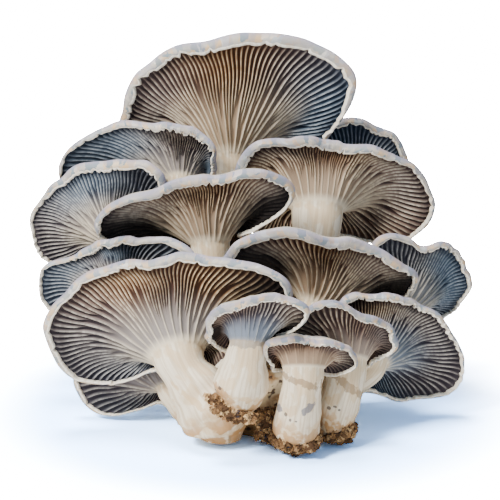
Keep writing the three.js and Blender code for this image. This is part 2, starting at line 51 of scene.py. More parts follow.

# %% [markdown]
# ## The sizes of each mushroom
#
# A cap is measured like a clock face seen from the front: how far the rim reaches from the hub, the
# middle of its plane, at each of the twelve hours. That needs twelve numbers and gives any lopsided
# outline. Face is which way the gills look, and cup how far the rim curls forward at its top, right,
# bottom and left. The neck is where the gills meet the stem. Nod turns it towards the foot, bow bends
# the stem, and the radii run from the neck to the foot.
#
# These are the real sizes, in millimetres and degrees, and the ones that the solids are made from. Most
# of the rims' numbers weren't chosen by hand: a least-squares fit to points read off the photo's outlines
# gave them, rounded to whole millimetres. MIDDLE is the point that the imported frame has as its origin.
# One difference from the solids is hidden: behind its neighbours, from six to eight o'clock, the rim of
# the upper right mushroom reaches further down. Flesh is how thick the cap is, roll how thick its rolled
# rim, wave how far the rim ripples, and phase sets the ripples off and is also the seed of everything
# uneven on that mushroom.
#
# The rest is looks. Band is how wide the pale margin is at its top, right, bottom and left. Cool turns
# the gills from brown (0) to blue-grey (1): in the middle, then at those four sides. That blue-grey is
# partly the caps' own colour and partly painted blue shade. Pale is how far the stem's cream runs up the
# gills, and dark lists the hollows that get painted shade: the hour, the share of the way out and how
# dark.

# %% One row for each mushroom
MIDDLE = Vector((0, 49, 0))
MUSHROOMS = [
    dict(name="top_mushroom", flesh=8, roll=1.3, wave=1.3, phase=0.4, band=(6.6, 4.2, 3, 4),
         hub=(-10, 106, 119), face=(0, -15), cup=(7, 8, 5, 9),
         reach=(54, 62, 67, 46, 31, 25, 22, 25, 34, 50, 55, 54),
         neck=14, nod=42, bow=0.25, foot=(-2, 84, 6), radii=(8.2, 7, 6.5, 6),
         gills=126, cool=(0.05, 0.1, 1.1, 1, 0.6), pale=1, dark=()),
    dict(name="upper_left_mushroom", flesh=7, roll=1.2, wave=1.1, phase=1.7, band=(4.6, 2.6, 2.4, 2.4),
         hub=(-31, 84, 108), face=(-12, -22), cup=(6, 6, 5, 8),
         reach=(27, 26, 21, 17, 16, 16, 18, 24, 43, 59, 44, 33),
         neck=9, nod=26, bow=0.15, foot=(-19, 77, 6), radii=(6.5, 6, 6, 6),
         gills=104, cool=(0.6, 0.7, 0.8, 0.9, 0.9), pale=0.5, dark=((9.5, 0.75, 0.5),)),
    dict(name="left_mushroom", flesh=7, roll=1.2, wave=1.1, phase=2.9, band=(5.6, 3, 2.4, 2.4),
         hub=(-62, 81, 80), face=(-20, -12), cup=(6, 6, 5, 7),
         reach=(35, 43, 37, 24, 20, 18, 20, 28, 39, 43, 36, 36),
         neck=10, nod=42, bow=0.2, foot=(-27, 62, 6), radii=(6.5, 6, 6, 6),
         gills=104, cool=(0.5, 0.9, 0.9, 0.5, 0.8), pale=0.9, dark=((1, 0.7, 0.5),)),
    dict(name="middle_left_mushroom", flesh=8, roll=1.3, wave=1.3, phase=3.6, band=(5, 3, 2.6, 3),
         hub=(-19, 55, 92), face=(0, -35), cup=(6, 9, 4, 10),
         reach=(32, 43, 46, 18, 20, 21, 22, 26, 38, 52, 43, 33),
         neck=14, nod=36, bow=0.3, foot=(-12, 50, 6), radii=(9, 7, 6.5, 6),
         gills=112, cool=(0.1, 0.1, 0.3, 0.2, 0.5), pale=0.8, dark=((8.4, 0.25, 1.7), (2.9, 0.22, 2.6))),
    dict(name="low_left_mushroom", flesh=7, roll=1.1, wave=1, phase=4.8, band=(4.6, 3, 2.2, 2.4),
         hub=(-58, 49, 63), face=(-22, -14), cup=(6, 6, 5, 7),
         reach=(25, 29, 46, 37, 22, 18, 19, 28, 42, 40, 26, 22),
         neck=11, nod=42, bow=0.2, foot=(-27, 48, 6), radii=(6.5, 6, 6, 6),
         gills=88, cool=(0.5, 0.9, 0.9, 0.5, 0.9), pale=0.8, dark=((1, 0.6, 0.6),)),
    dict(name="front_left_mushroom", flesh=8, roll=1.4, wave=1.4, phase=5.5, band=(4.6, 3.4, 2.8, 3.6),
         hub=(-35, 16, 50), face=(-6, -12), cup=(8, 9, 6, 9),
         reach=(40, 45, 61, 42, 27, 25, 22, 24, 50, 55, 49, 41),
         neck=15, nod=38, bow=0.35, foot=(-13, 2, 3), radii=(11.5, 10.5, 12.5, 16, 16, 9.5),
         gills=116, cool=(0.6, 0, 0.1, 0.8, 0.6), pale=0.55, dark=((2.5, 0.5, 1.3),)),
    dict(name="bottom_left_mushroom", flesh=6, roll=1, wave=0.8, phase=0.9, band=(3, 2.4, 2.2, 3),
         hub=(-38, 29, 24), face=(-15, -5), cup=(5, 5, 4, 6),
         reach=(10, 11, 12, 13, 15, 15, 15, 18, 40, 41, 22, 13),
         neck=7, nod=55, bow=0.2, foot=(-28, 23, 2), radii=(6, 6, 6.5, 5),
         gills=72, cool=(0.6, 0.8, 0.7, 0.6, 0.8), pale=0.2, dark=()),
    dict(name="upper_right_mushroom", flesh=8, roll=1.3, wave=1.3, phase=2.2, band=(5.4, 3.2, 2.8, 3.8),
         hub=(32, 85, 101), face=(8, -22), cup=(6, 8, 6, 9),
         reach=(26, 28, 38, 52, 57, 36, 26, 36, 41, 41, 43, 35),
         neck=15, nod=38, bow=0.35, foot=(20, 66, 6), radii=(12, 9.5, 7.5, 6.5),
         gills=112, cool=(0.1, 0.1, 0.4, 0.2, 0.2), pale=0.8, dark=((10.5, 0.8, 0.6),)),
    dict(name="back_right_mushroom", flesh=7, roll=1.1, wave=1, phase=3.1, band=(4, 3, 2.2, 2.4),
         hub=(46, 121, 89), face=(12, -16), cup=(5, 6, 4, 6),
         reach=(40, 37, 34, 30, 24, 18, 17, 18, 20, 20, 27, 37),
         neck=10, nod=42, bow=0.25, foot=(14, 90, 6), radii=(7, 6, 6, 6),
         gills=96, cool=(1, 1, 1, 1, 1), pale=0.2, dark=((10, 0.5, 0.4),)),
    dict(name="right_mushroom", flesh=7, roll=1.1, wave=1, phase=4.1, band=(3.6, 2.8, 2.4, 2.4),
         hub=(73, 73, 50), face=(22, -14), cup=(6, 6, 5, 6),
         reach=(29, 31, 31, 30, 26, 18, 17, 19, 20, 20, 31, 39),
         neck=11, nod=42, bow=0.25, foot=(34, 48, 6), radii=(7, 6, 6, 6),
         gills=88, cool=(0.8, 0.8, 1, 0.9, 0.8), pale=0.7, dark=()),
    dict(name="middle_right_mushroom", flesh=8, roll=1.3, wave=1.3, phase=5.1, band=(5.8, 3, 2.6, 3.2),
         hub=(35, 46, 64), face=(2, -38), cup=(5, 8, 4, 12),
         reach=(38, 35, 40, 40, 29, 20, 18, 20, 30, 46, 57, 52),
         neck=14, nod=34, bow=0.3, foot=(10, 24, 6), radii=(8.5, 7.5, 6.5, 6.5),
         gills=112, cool=(0.1, 0.15, 0.3, 0.2, 0.4), pale=0.7, dark=((9.4, 0.22, 2.6), (3.3, 0.35, 2.2))),
    dict(name="bottom_right_mushroom", flesh=9, roll=1.3, wave=1.2, phase=0.2, band=(3.8, 3, 2.6, 2.6),
         hub=(55, 28, 39), face=(18, -6), cup=(6, 7, 6, 6),
         reach=(26, 27, 30, 39, 47, 32, 23, 26, 27, 27, 29, 30),
         neck=11, nod=42, bow=0.3, foot=(32, 30, 6), radii=(8, 7, 6, 6),
         gills=104, cool=(1, 0.2, 0.5, 0.9, 0.5), pale=0.3, dark=((11, 0.6, 0.9),)),
    dict(name="small_left_mushroom", flesh=6, roll=1, wave=0.8, phase=1.2, band=(4.4, 2.4, 2, 3),
         hub=(0, -14, 60), face=(0, -34), cup=(3, 5, 2, 5),
         reach=(22, 27, 29, 15, 13, 13.5, 15.5, 17.5, 19, 19, 21, 20),
         neck=8, nod=36, bow=0.35, foot=(-5, -16, 20), radii=(8, 9, 11, 12, 10, 6),
         gills=72, cool=(0.95, 0.5, 0.3, 0.3, 0.3), pale=0.1, dark=((8.9, 0.45, 1.3), (2.7, 0.5, 1.2))),
    dict(name="small_middle_mushroom", flesh=5, roll=1, wave=0.8, phase=2.6, band=(2.4, 2, 2, 2),
         hub=(23, -16, 48), face=(4, -36), cup=(2, 4, 2, 4),
         reach=(11, 14, 19, 23, 21, 15, 15.5, 14.5, 13.5, 16, 20, 18),
         neck=7, nod=34, bow=0.35, foot=(20, -12, 4), radii=(9, 8.5, 9, 10, 10.5, 7),
         gills=64, cool=(0.1, 0.2, 0.5, 0.3, 0.3), pale=0.5, dark=((3.4, 0.6, 0.8), (9.2, 0.6, 0.6))),
    dict(name="small_right_mushroom", flesh=5, roll=1, wave=0.8, phase=3.9, band=(3.6, 3, 2, 2.4),
         hub=(43, 4, 46), face=(10, -28), cup=(3, 5, 3, 4),
         reach=(24, 21, 22, 20, 15.5, 15.5, 15, 15.5, 17.5, 24, 33, 33),
         neck=8, nod=36, bow=0.35, foot=(37, 0, 4), radii=(8.5, 8.5, 9, 9.5, 8.5, 6),
         gills=72, cool=(0.35, 0.3, 0.4, 0.4, 0.4), pale=0.4, dark=((10.2, 0.55, 0.8), (3.1, 0.6, 0.8))),
]
print(len(MUSHROOMS), "mushrooms,", sum(row["gills"] for row in MUSHROOMS), "gills at their rims")

# %% [markdown]
# ## Smooth curves through a few numbers
#
# The twelve hours have to become a closed curve with no corner at any hour. A Catmull-Rom curve does
# that: it passes through every number, and each stretch only needs the two numbers on either side. The
# stem's radius has no way round, so a plain ease from one number to the next is enough.

# %% Curves through numbers
def round_clock(values, phi):
    """The value at angle phi of numbers that stand evenly round a circle."""
    values = np.asarray(values, float)
    place = (phi / TURN) % 1.0 * len(values)
    first = np.floor(place).astype(int)
    part = place - first
    a, b, c, d = (values[(first + step) % len(values)] for step in (-1, 0, 1, 2))
    return b + 0.5 * part * (c - a + part * (2 * a - 5 * b + 4 * c - d + part * (3 * (b - c) + d - a)))


def along(values, part):
    """The value part of the way (0 to 1) through a list of numbers."""
    place = part * (len(values) - 1)
    first = min(int(place), len(values) - 2)
    ease = place - first
    return values[first] + (values[first + 1] - values[first]) * ease * ease * (3 - 2 * ease)


def step_up(value, low, high):
    """0 below low, 1 above high, and smooth between them."""
    ease = np.clip((value - low) / (high - low), 0, 1)
    return ease * ease * (3 - 2 * ease)


print("reach of the top mushroom at half past two:", round_clock(MUSHROOMS[0]["reach"], TURN * 2.5 / 12))

# %% [markdown]
# ## Unevenness with a fixed seed
#
# Nothing that grew is even. A sum of sine waves that run in random directions makes soft lumps at any
# scale, gives the same lumps every run because the directions are drawn with a seed, and costs little
# on a hundred thousand points.

# %% Soft lumps
LUMP_GAIN = 1.6


def lumps(points, size, seed, waves=9):
    """Soft unevenness between about -1 and 1 at points in millimetres, in lumps of about that size."""
    draw = np.random.default_rng(seed)
    ways = draw.normal(size=(waves, points.shape[-1]))
    ways *= TURN / size / np.linalg.norm(ways, axis=1, keepdims=True)
    shifts = draw.uniform(0, TURN, waves)
    total = sum(np.sin(points @ way + shift) for way, shift in zip(ways, shifts))
    return total * LUMP_GAIN / waves


def round_rim(phi, rate, seed):
    """Unevenness round the rim that closes on itself, with rate lumps or so in the whole turn."""
    circle = np.stack([np.sin(phi), np.cos(phi)], axis=-1)
    return lumps(circle, TURN / rate, seed)


print("lumps at the origin:", float(lumps(np.zeros((1, 3)), 5, 1)[0]))

# %% [markdown]
# ## Where the gills stand
#
# Real gills start in turns. A quarter of them run all the way down to the stem, another quarter start
# within the first third of the way out, and the rest start further out. Each gill gets four columns of
# points: its crest, its foot on either side and the valley beyond. Near the stem the long gills spread
# out to take the room of those that haven't started yet.

# %% Columns of points across the gills
COLUMN_OFFSETS = (0, 0.24, 0.5, 0.76)
CREST_SHAPE = (1, 0.12, 0, 0.12)
NEAR_STEPS = (0, 0.24, 0.5, 0.76, 1, 1.24, 1.5, 1.76, 2)
SPREAD_STEPS = (0, 0.6, 0.95, 1.15, 1.3, 1.45, 1.65, 1.85, 2)
SPREAD_END = 0.55
LONG_START = -1.0
MIDDLING_STARTS = (0.03, 0.3)
SHORT_STARTS = (0.15, 0.6)


def gill_angle(place, count, share):
    """The angle of a column that stands place gills round, where share of the way out is reached."""
    near = (place + 2) % 4 - 2
    spread = np.sign(near) * np.interp(np.abs(near), NEAR_STEPS, SPREAD_STEPS)
    pull = np.clip(1 - share / SPREAD_END, 0, 1)
    return (place + (spread - near) * pull) * TURN / count


def gill_columns(row):
    """Each fine column's place, its height across the gill, and how far out its gill starts."""
    draw = np.random.default_rng(int(row["phase"] * 100))
    number = np.arange(row["gills"])
    starts = np.select(
        [number % 4 == 0, number % 4 == 2],
        [np.full(row["gills"], LONG_START), draw.uniform(*MIDDLING_STARTS, row["gills"])],
        draw.uniform(*SHORT_STARTS, row["gills"]),
    )
    place = (number[:, None] + np.array(COLUMN_OFFSETS)).ravel()
    height = np.tile(CREST_SHAPE, row["gills"])
    owner = np.stack([number, number, number, number + 1], axis=1).ravel() % row["gills"]
    return place, height, starts[owner]


print("columns round the top mushroom:", len(gill_columns(MUSHROOMS[0])[0]))

# %% [markdown]
# ## The skin as rings
#
# A ring is a row of points all the way round the mushroom. Joined to the next ring it makes a band, and
# the bands make a closed skin with no seam. Rings on the gills need four points for each gill, but the
# stem and the cap's top need far fewer, so a band can also join two rings where one has twice as many
# points as the other.

# %% Rings joined into a skin
# Of these marks, dark carries the painted shade of the hollows, and cool a blue-grey that is partly painted
# blue shade.
NUMBERS = ("part", "share", "profile", "start", "way", "cool", "dark")
VECTORS = ("out", "growth")


class Skin:
    """A closed mesh made ring by ring. Each point keeps numbers that the gills and the finish read."""

    def __init__(self):
        self.points = []
        self.marks = {key: [] for key in NUMBERS + VECTORS}
        self.faces = []
        self.last = None
        self.total = 0

    def ring(self, points, **marks):
        """Add a ring and join it to the last one. Marks that aren't given are 0."""
        count = len(points)
        index = np.arange(self.total, self.total + count)
        self.points.append(points)
        for key in NUMBERS:
            self.marks[key].append(np.broadcast_to(marks.get(key, 0.0), (count,)))
        for key in VECTORS:
            self.marks[key].append(np.broadcast_to(marks.get(key, (0.0, 0.0, 0.0)), (count, 3)))
        self.total += count
        if self.last is not None:
            self.bridge(self.last, index)
        self.last = index

    def bridge(self, low, high):
        """Faces between two rings: from a pole, to a pole, one to one, one to two, or two to one."""
        low_next = np.roll(low, -1)
        high_next = np.roll(high, -1)
        if len(low) == 1:
            self.keep(np.broadcast_to(low, high.shape), high_next, high)
        elif len(high) == 1:
            self.keep(low, low_next, np.broadcast_to(high, low.shape))
        elif len(low) == len(high):
            self.keep(low, low_next, high_next, high)
        elif len(low) < len(high):
            self.keep(low, high[1::2], high[0::2])
            self.keep(low, low_next, high[1::2])
            self.keep(low_next, np.roll(high[0::2], -1), high[1::2])
        else:
            self.keep(low[0::2], low[1::2], high)
            self.keep(low[1::2], high_next, high)
            self.keep(low[1::2], np.roll(low[0::2], -1), high_next)

    def keep(self, *corners):
        """Keep a row of faces, given as one row of points for each corner."""
        self.faces.extend(np.stack(corners, axis=1).tolist())

    def piece(self, name):
        """The skin as a Blender object in metres, with its marks as attributes of the points."""
        points = np.concatenate(self.points) - np.array(MIDDLE)
        points[:, 2] = np.maximum(points[:, 2], 0)
        mesh = bpy.data.meshes.new(name)
        mesh.from_pydata((points * MM).tolist(), [], self.faces)
        mesh.polygons.foreach_set("use_smooth", [True] * len(mesh.polygons))
        for key in NUMBERS:
            values = np.concatenate(self.marks[key]).astype(np.float32)
            mesh.attributes.new(key, "FLOAT", "POINT").data.foreach_set("value", values)
        for key in VECTORS:
            values = np.concatenate(self.marks[key]).astype(np.float32).ravel()
            mesh.attributes.new(key, "FLOAT_VECTOR", "POINT").data.foreach_set("vector", values)
        piece = bpy.data.objects.new(name, mesh)
        bpy.context.scene.collection.objects.link(piece)
        return piece


print("marks on a skin:", NUMBERS + VECTORS)

# %% [markdown]
# ## The cap of a mushroom
#
# The rim stands in a plane that faces the front. Its middle is the hub. From the hub the stem leaves on
# the gill side, so the gills sweep forward into it like the bell of a trumpet. Close to the stem the
# rings turn with it, which is what makes the gills run down the stem, as they do on an oyster mushroom.
# The pale margin beyond the gills is the rolled edge of the cap: wide at the top, narrow at the sides.
# Everything uneven about a cap is in one list: how many lumps in a turn, how large, and which draw.

# %% The directions and the unevenness of a cap
UNEVEN = {
    "nicks": (30, 0.35, 1),
    "margin": (9, 0.12, 2),
    "tint": (4, 0.25, 3),
    "ribs": (24, 0.2, 4),
    "fine ribs": (60, 0.12, 5),
    "scallops": (36, 1, 7),
    "tears": (90, 1, 8),
    "blisters": (50, 0.16, 9),
    "swellings": (17, 0.3, 10),
    "slow scallops": (9, 1, 12),
}
STEM_LUMPS = (14, 0.35, 6)
TOP_LUMPS = (22, 0.6, 11)


def cap_axes(face):
    """Right and up in the plane of the rim, and out of the gills."""
    azimuth, elevation = (math.radians(angle) for angle in face)
    out = Vector((
        math.sin(azimuth) * math.cos(elevation),
        -math.cos(azimuth) * math.cos(elevation),
        math.sin(elevation),
    ))
    up = (UP - out * out.z).normalized()
    return up.cross(out), up, out


print("kinds of unevenness:", ", ".join(UNEVEN))

# %% The shape of a cap
RIPPLES = ((7, 1, 0.6), (12, 2.3, 0.4))
CURL_WAVES = (5, 1.7)
TURN_FADE = 1.5
COOL_SHARES = (0.1, 0.75)
HOLLOW_WIDTH = 0.5
HOLLOW_EDGE = (-0.2, 0.25)


class Cap:
    """The shape of one cap: where its rim runs, how its colour turns, and any point over or under it."""

    def __init__(self, row):
        self.row = row
        self.right, self.up, self.out = cap_axes(row["face"])
        self.hub = Vector(row["hub"])
        aim = Vector(row["foot"]) - self.hub
        lean = (aim - self.out * aim.dot(self.out)).normalized()
        self.axis = self.out.cross(lean)
        self.nod = math.radians(row["nod"])
        self.seed = int(row["phase"] * 100)
        self.fine = gill_columns(row)
        self.plain = np.arange(row["gills"]) * TURN / row["gills"]

    def spoke(self, phi):
        """Directions from the hub in the plane of the rim."""
        return np.sin(phi)[:, None] * np.array(self.right) + np.cos(phi)[:, None] * np.array(self.up)

    def uneven(self, kind, phi):
        """A named unevenness round the rim, the same wherever it is asked for."""
        rate, size, draw = UNEVEN[kind]
        return size * round_rim(phi, rate, self.seed + draw)

    def lumpy(self, points, kind):
        span, size, draw = kind
        return size * lumps(points, span, self.seed + draw)

    def rim(self, phi):
        row = self.row
        ripple = sum(size * np.sin(rate * phi + shift * row["phase"]) for rate, shift, size in RIPPLES)
        return round_clock(row["reach"], phi) + row["wave"] * ripple + self.uneven("nicks", phi)

    def band(self, phi):
        return round_clock(self.row["band"], phi) * (1 + self.uneven("margin", phi))

    def curl(self, phi):
        row = self.row
        rate, shift = CURL_WAVES
        return round_clock(row["cup"], phi) + row["wave"] * np.sin(rate * phi + shift * row["phase"])

    def tilted(self, share):
        """The turn towards the stem: full at the neck, none at the rim."""
        return Quaternion(self.axis, self.nod * max(1 - share, 0) ** TURN_FADE)

    def place(self, phi, share, reach, height):
        """A point at reach along its spoke and height over the gill disc, turned with the stem."""
        flat = self.spoke(phi) * np.reshape(reach, (-1, 1)) + np.outer(height, np.array(self.out))
        turn = np.array(self.tilted(share).to_matrix())
        return flat @ turn.T + np.array(self.hub)

    def tints(self, phi, share):
        """How blue-grey the gills are, partly as painted blue shade, and how much painted shade darkens them
        in the hollows, at an angle, share of the way out.
        """
        middle, *clock = self.row["cool"]
        edge = round_clock(clock, phi) + self.uneven("tint", phi)
        # Painted shade in the hollows that the row lists under dark.
        dark = np.zeros_like(phi)
        for hour, from_share, amount in self.row["dark"]:
            away = (phi - hour * TURN / 12 + math.pi) % TURN - math.pi
            wide = np.exp(-((away / HOLLOW_WIDTH) ** 2))
            low, high = (from_share + step for step in HOLLOW_EDGE)
            dark = dark + amount * wide * step_up(share, low, high)
        # The blue-grey is partly the cap's own colour and partly painted blue shade.
        cool = np.clip(middle + (edge - middle) * step_up(share, *COOL_SHARES), 0, 1)
        return dict(cool=cool, dark=np.clip(dark, 0, 1))


def growth(phi, way, size=1.0):
    """Directions that follow the growth, for the finish: a circle round the skin, and along it."""
    return np.stack([size * np.sin(phi), size * np.cos(phi), np.broadcast_to(way, phi.shape)], axis=-1)


top_cap = Cap(MUSHROOMS[0])
print("the top cap's rim reaches", float(top_cap.rim(np.array([0.0]))[0]), "mm at twelve o'clock")

# %% [markdown]
# ### The stem
#
# The stem's middle line is a Bezier curve that leaves along the gills' own axis and ends pointing down.
# Its rings are carried along the curve with the smallest turn at each step, so the stem doesn't twist.
# Soft ribs run along it, where the long gills fade out, and it is a little lumpy.

# %% The stem's rings
STEM_RINGS = 40
FOOT_DROP = 0.4
FOOT_DOME = 0.35
EVEN_BY = 0.25
LUMPY_BY = 0.1
RIB_FADE = 0.6
GROWTH_LENGTH = 10


def add_stem(skin, row, cap):
    """The foot's dome, then the stem's rings from the foot up to the neck."""
    start = cap.tilted(0) @ cap.out
    neck = cap.hub + start * row["neck"]
    foot = Vector(row["foot"])
    span = (foot - neck).length
    a, b, c, d = neck, neck + start * row["bow"] * span, foot + UP * FOOT_DROP * span, foot
    turn = cap.tilted(0)
    heading = start
    rings = []
    for number in range(STEM_RINGS + 1):
        part = number / STEM_RINGS
        rest = 1 - part
        at = a * rest**3 + b * 3 * rest**2 * part + c * 3 * rest * part**2 + d * part**3
        way = ((b - a) * rest**2 + (c - b) * 2 * rest * part + (d - c) * part**2).normalized()
        turn = heading.rotation_difference(way) @ turn
        heading = way
        rings.append((part, at, turn.copy(), along(row["radii"], part)))
    end = rings[-1]
    skin.ring(np.array([end[1] + heading * FOOT_DOME * end[3]]), way=1)
    for part, at, turn, radius in reversed(rings):
        spread = SPREAD_END * min(part / EVEN_BY, 1)
        phi = gill_angle(np.arange(row["gills"], dtype=float), row["gills"], spread)
        rib = cap.uneven("ribs", phi) + cap.uneven("fine ribs", phi + part)
        spoke = cap.spoke(phi) @ np.array(turn.to_matrix()).T
        lump = cap.lumpy(spoke * radius + np.array(at), STEM_LUMPS)
        size = radius + min(part / LUMPY_BY, 1) * (rib * (1 - RIB_FADE * part) + lump)
        points = spoke * size[:, None] + np.array(at)
        skin.ring(points, way=part, growth=growth(phi, part * span / GROWTH_LENGTH))


print("rings on a stem:", STEM_RINGS + 1)

# %% [markdown]
# ### Gills, rim and top
#
# Out from the neck the gill rings follow, then the torn inner edge of the margin, which stands over the
# ends of the gills, then the margin itself, rounded over to the outer edge, and last the top of the cap,
# which bulges to the back. Part tells the finish where a point is: 0 stem, 1 gills, 2 lip, 3 margin and
# 4 top.

# %% The gills' rings
GILL_SHARES = 1 - (1 - np.linspace(0, 1, 35)) ** 1.25
GILL_ROOM = 16
LEAST_ROOM = 0.35
LIP_COVER = 0.92
GILL_BEND = 0.022
BEND_WAVES = (9, 4)
GILL_GROWTH = 4


def add_gills(skin, row, cap):
    """Rings from the neck to the lip. The first two have fewer points, to join the stem's."""
    place, profile, starts = cap.fine
    outwards, around = BEND_WAVES
    neck_reach = row["radii"][0]
    for number, share in enumerate(GILL_SHARES[1:], 1):
        step = 4 if number == 1 else 2 if number == 2 else 1
        phi = gill_angle(place[::step], row["gills"], share)
        phi = phi + GILL_BEND * share * np.sin(outwards * share + around * phi + cap.seed)
        lip = cap.rim(phi) - LIP_COVER * cap.band(phi)
        reach = neck_reach + (lip - neck_reach) * share
        height = row["neck"] * (1 - share) ** 3 + cap.curl(phi) * share**2
        points = cap.place(phi, share, reach, height)
        room = np.clip((lip - neck_reach) / GILL_ROOM, LEAST_ROOM, 1)
        out = cap.tilted(share) @ cap.out
        skin.ring(points, part=1, share=share, profile=profile[::step] * room, start=starts[::step],
                  out=tuple(out), growth=growth(phi, share * GILL_GROWTH), **cap.tints(phi, share))


print("rings under the gills:", len(GILL_SHARES) - 1)

# %% The rings of the lip and the margin
LIP_STEPS = ((1.0, 0.3), (1.03, 0.8), (1.0, 1.3), (0.94, 1.65), (0.8, 1.8))
MARGIN_STEPS = ((0.68, 1.84), (0.52, 1.78), (0.36, 1.6), (0.22, 1.3), (0.1, 0.88), (0.02, 0.35),
                (0.03, -0.3), (0.14, -0.9), (0.35, -1.4))
SCALLOP_DEPTH = 3.2
TEAR_DEPTH = 2.0
MOST_TORN = 0.5
TORN_INWARDS = (0.2, 0.8)
BLISTERED_RISE = (0.2, 1.4)
BAND_SHARE = 0.06
MARGIN_GROWTH = 0.1
USUAL_REACH = 50


def torn(cap, phi):
    """How far the lip is torn outwards: shallow scallops with a few sharp nicks, in millimetres."""
    scallop = np.abs(cap.uneven("scallops", phi)) * np.abs(cap.uneven("slow scallops", phi))
    tear = np.maximum(cap.uneven("tears", phi), 0) ** 2
    return cap.row["roll"] * (SCALLOP_DEPTH * scallop + TEAR_DEPTH * tear)


def add_rim(skin, row, cap):
    """Each step is a share of the band inwards from the rim, and a rise in rolls over the gills."""
    for number, (inwards, rise) in enumerate(LIP_STEPS + MARGIN_STEPS):
        lip = number < len(LIP_STEPS)
        phi = (cap.fine[0] if lip else cap.fine[0][::2]) * TURN / row["gills"]
        tear = np.minimum(torn(cap, phi), MOST_TORN * cap.band(phi)) * step_up(inwards, *TORN_INWARDS)
        blister = cap.uneven("blisters", phi) + cap.uneven("swellings", phi)
        reach = cap.rim(phi) - inwards * cap.band(phi) + tear
        height = cap.curl(phi) + row["roll"] * rise + blister * step_up(rise, *BLISTERED_RISE)
        follow = growth(phi, MARGIN_GROWTH * inwards, max(row["reach"]) / USUAL_REACH)
        skin.ring(cap.place(phi, 1, reach, height), part=2 if lip else 3,
                  share=1 - BAND_SHARE * inwards, growth=follow, **cap.tints(phi, 1))


print("rings of the lip and the margin:", len(LIP_STEPS + MARGIN_STEPS))

# %% The rings of the cap's top, and the whole skin
TOP_SHARES = (0.975, 0.94, 0.89, 0.83, 0.76, 0.68, 0.6, 0.52, 0.44, 0.35, 0.26, 0.17, 0.08)
RIM_DEPTH = 1.9
TOP_EDGE = 1.1
TOP_GROWTH = 2


def add_top(skin, row, cap):
    """Rings from the rim to the middle of the cap's back. Short sides stay flat for longer."""
    phi = cap.plain
    edge = RIM_DEPTH * row["roll"] * math.sin(TOP_EDGE)
    room = np.clip((cap.rim(phi) - 2 * row["roll"] - row["radii"][0]) / GILL_ROOM, 0, 1)
    for share in TOP_SHARES:
        depth = edge + (row["flesh"] - edge) * (1 - share ** (2 + 4 * (1 - room)))
        reach = (cap.rim(phi) - row["roll"]) * share
        height = cap.curl(phi) * share**2 - depth
        height = height + cap.lumpy(cap.place(phi, 1, reach, height), TOP_LUMPS) * (1 - share**6)
        skin.ring(cap.place(phi, 1, reach, height), part=4, share=share,
                  growth=growth(phi, share * TOP_GROWTH), **cap.tints(phi, share))
    skin.ring(cap.place(np.zeros(1), 1, np.zeros(1), np.array([-row["flesh"]])), part=4)


def mushroom_skin(row):
    cap = Cap(row)
    skin = Skin()
    add_stem(skin, row, cap)
    add_gills(skin, row, cap)
    add_rim(skin, row, cap)
    add_top(skin, row, cap)
    return skin.piece(row["name"] + "_skin")


print("rings on the cap's top:", len(TOP_SHARES))

# %% [markdown]
# ## Helpers for node trees
#
# Both the Geometry Nodes and the materials below are trees built in code. These short helpers add a
# node with its inputs linked or set, and start a group with named inputs. The next ones add the nodes
# that are wanted most, and run a Geometry Nodes tree on a piece.

# %% Helpers for node trees
def add_node(tree, kind, links=None, **settings):
    """A node with its settings. Its inputs, by name or number, are linked or set to a value."""
    node = tree.nodes.new(kind)
    for key, value in settings.items():
        setattr(node, key, value)
    for key, value in (links or {}).items():
        if isinstance(value, bpy.types.NodeSocket):
            tree.links.new(value, node.inputs[key])
        else:
            node.inputs[key].default_value = value
    return node


def new_group(name, kind, inputs, output):
    """A group of nodes, its input sockets as seen from inside, and the socket that its result goes to."""
    tree = bpy.data.node_groups.new(name, kind)
    for label, socket_kind, *value in inputs:
        socket = tree.interface.new_socket(label, in_out="INPUT", socket_type="NodeSocket" + socket_kind)
        if value:
            socket.default_value = value[0]
    label, socket_kind = output
    tree.interface.new_socket(label, in_out="OUTPUT", socket_type="NodeSocket" + socket_kind)
    end = tree.nodes.new("NodeGroupOutput").inputs[0]
    return tree, tree.nodes.new("NodeGroupInput").outputs, end


print("inputs are linked or set by name or number")

# %% Short calls for common nodes
def maths(tree, operation, first, second=0.0):
    return add_node(tree, "ShaderNodeMath", {0: first, 1: second}, operation=operation).outputs[0]


def vector_maths(tree, operation, *values):
    return add_node(tree, "ShaderNodeVectorMath", dict(enumerate(values)), operation=operation).outputs[0]


def product(tree, first, *others):
    for other in others:
        first = maths(tree, "MULTIPLY", first, other)
    return first


def scaled(tree, vector, size):
    links = {0: vector, "Scale": size}
    return add_node(tree, "ShaderNodeVectorMath", links, operation="SCALE").outputs[0]


def length(tree, vector):
    return add_node(tree, "ShaderNodeVectorMath", {0: vector}, operation="LENGTH").outputs["Value"]


def noise(tree, output="Fac", **values):
    """A noise texture's output. Its inputs are given by their names in small letters."""
    links = {name.title(): value for name, value in values.items()}
    return add_node(tree, "ShaderNodeTexNoise", links).outputs[output]


def object_place(tree):
    return tree.nodes.new("ShaderNodeTexCoord").outputs["Object"]


def ramp(tree, value, low, high, to_low=0.0, to_high=1.0):
    """Value from low to high taken smoothly to to_low and to_high."""
    links = {"Value": value, "From Min": low, "From Max": high, "To Min": to_low, "To Max": to_high}
    return add_node(tree, "ShaderNodeMapRange", links, interpolation_type="SMOOTHSTEP").outputs["Result"]


print("the short calls follow the names of Blender's own nodes")

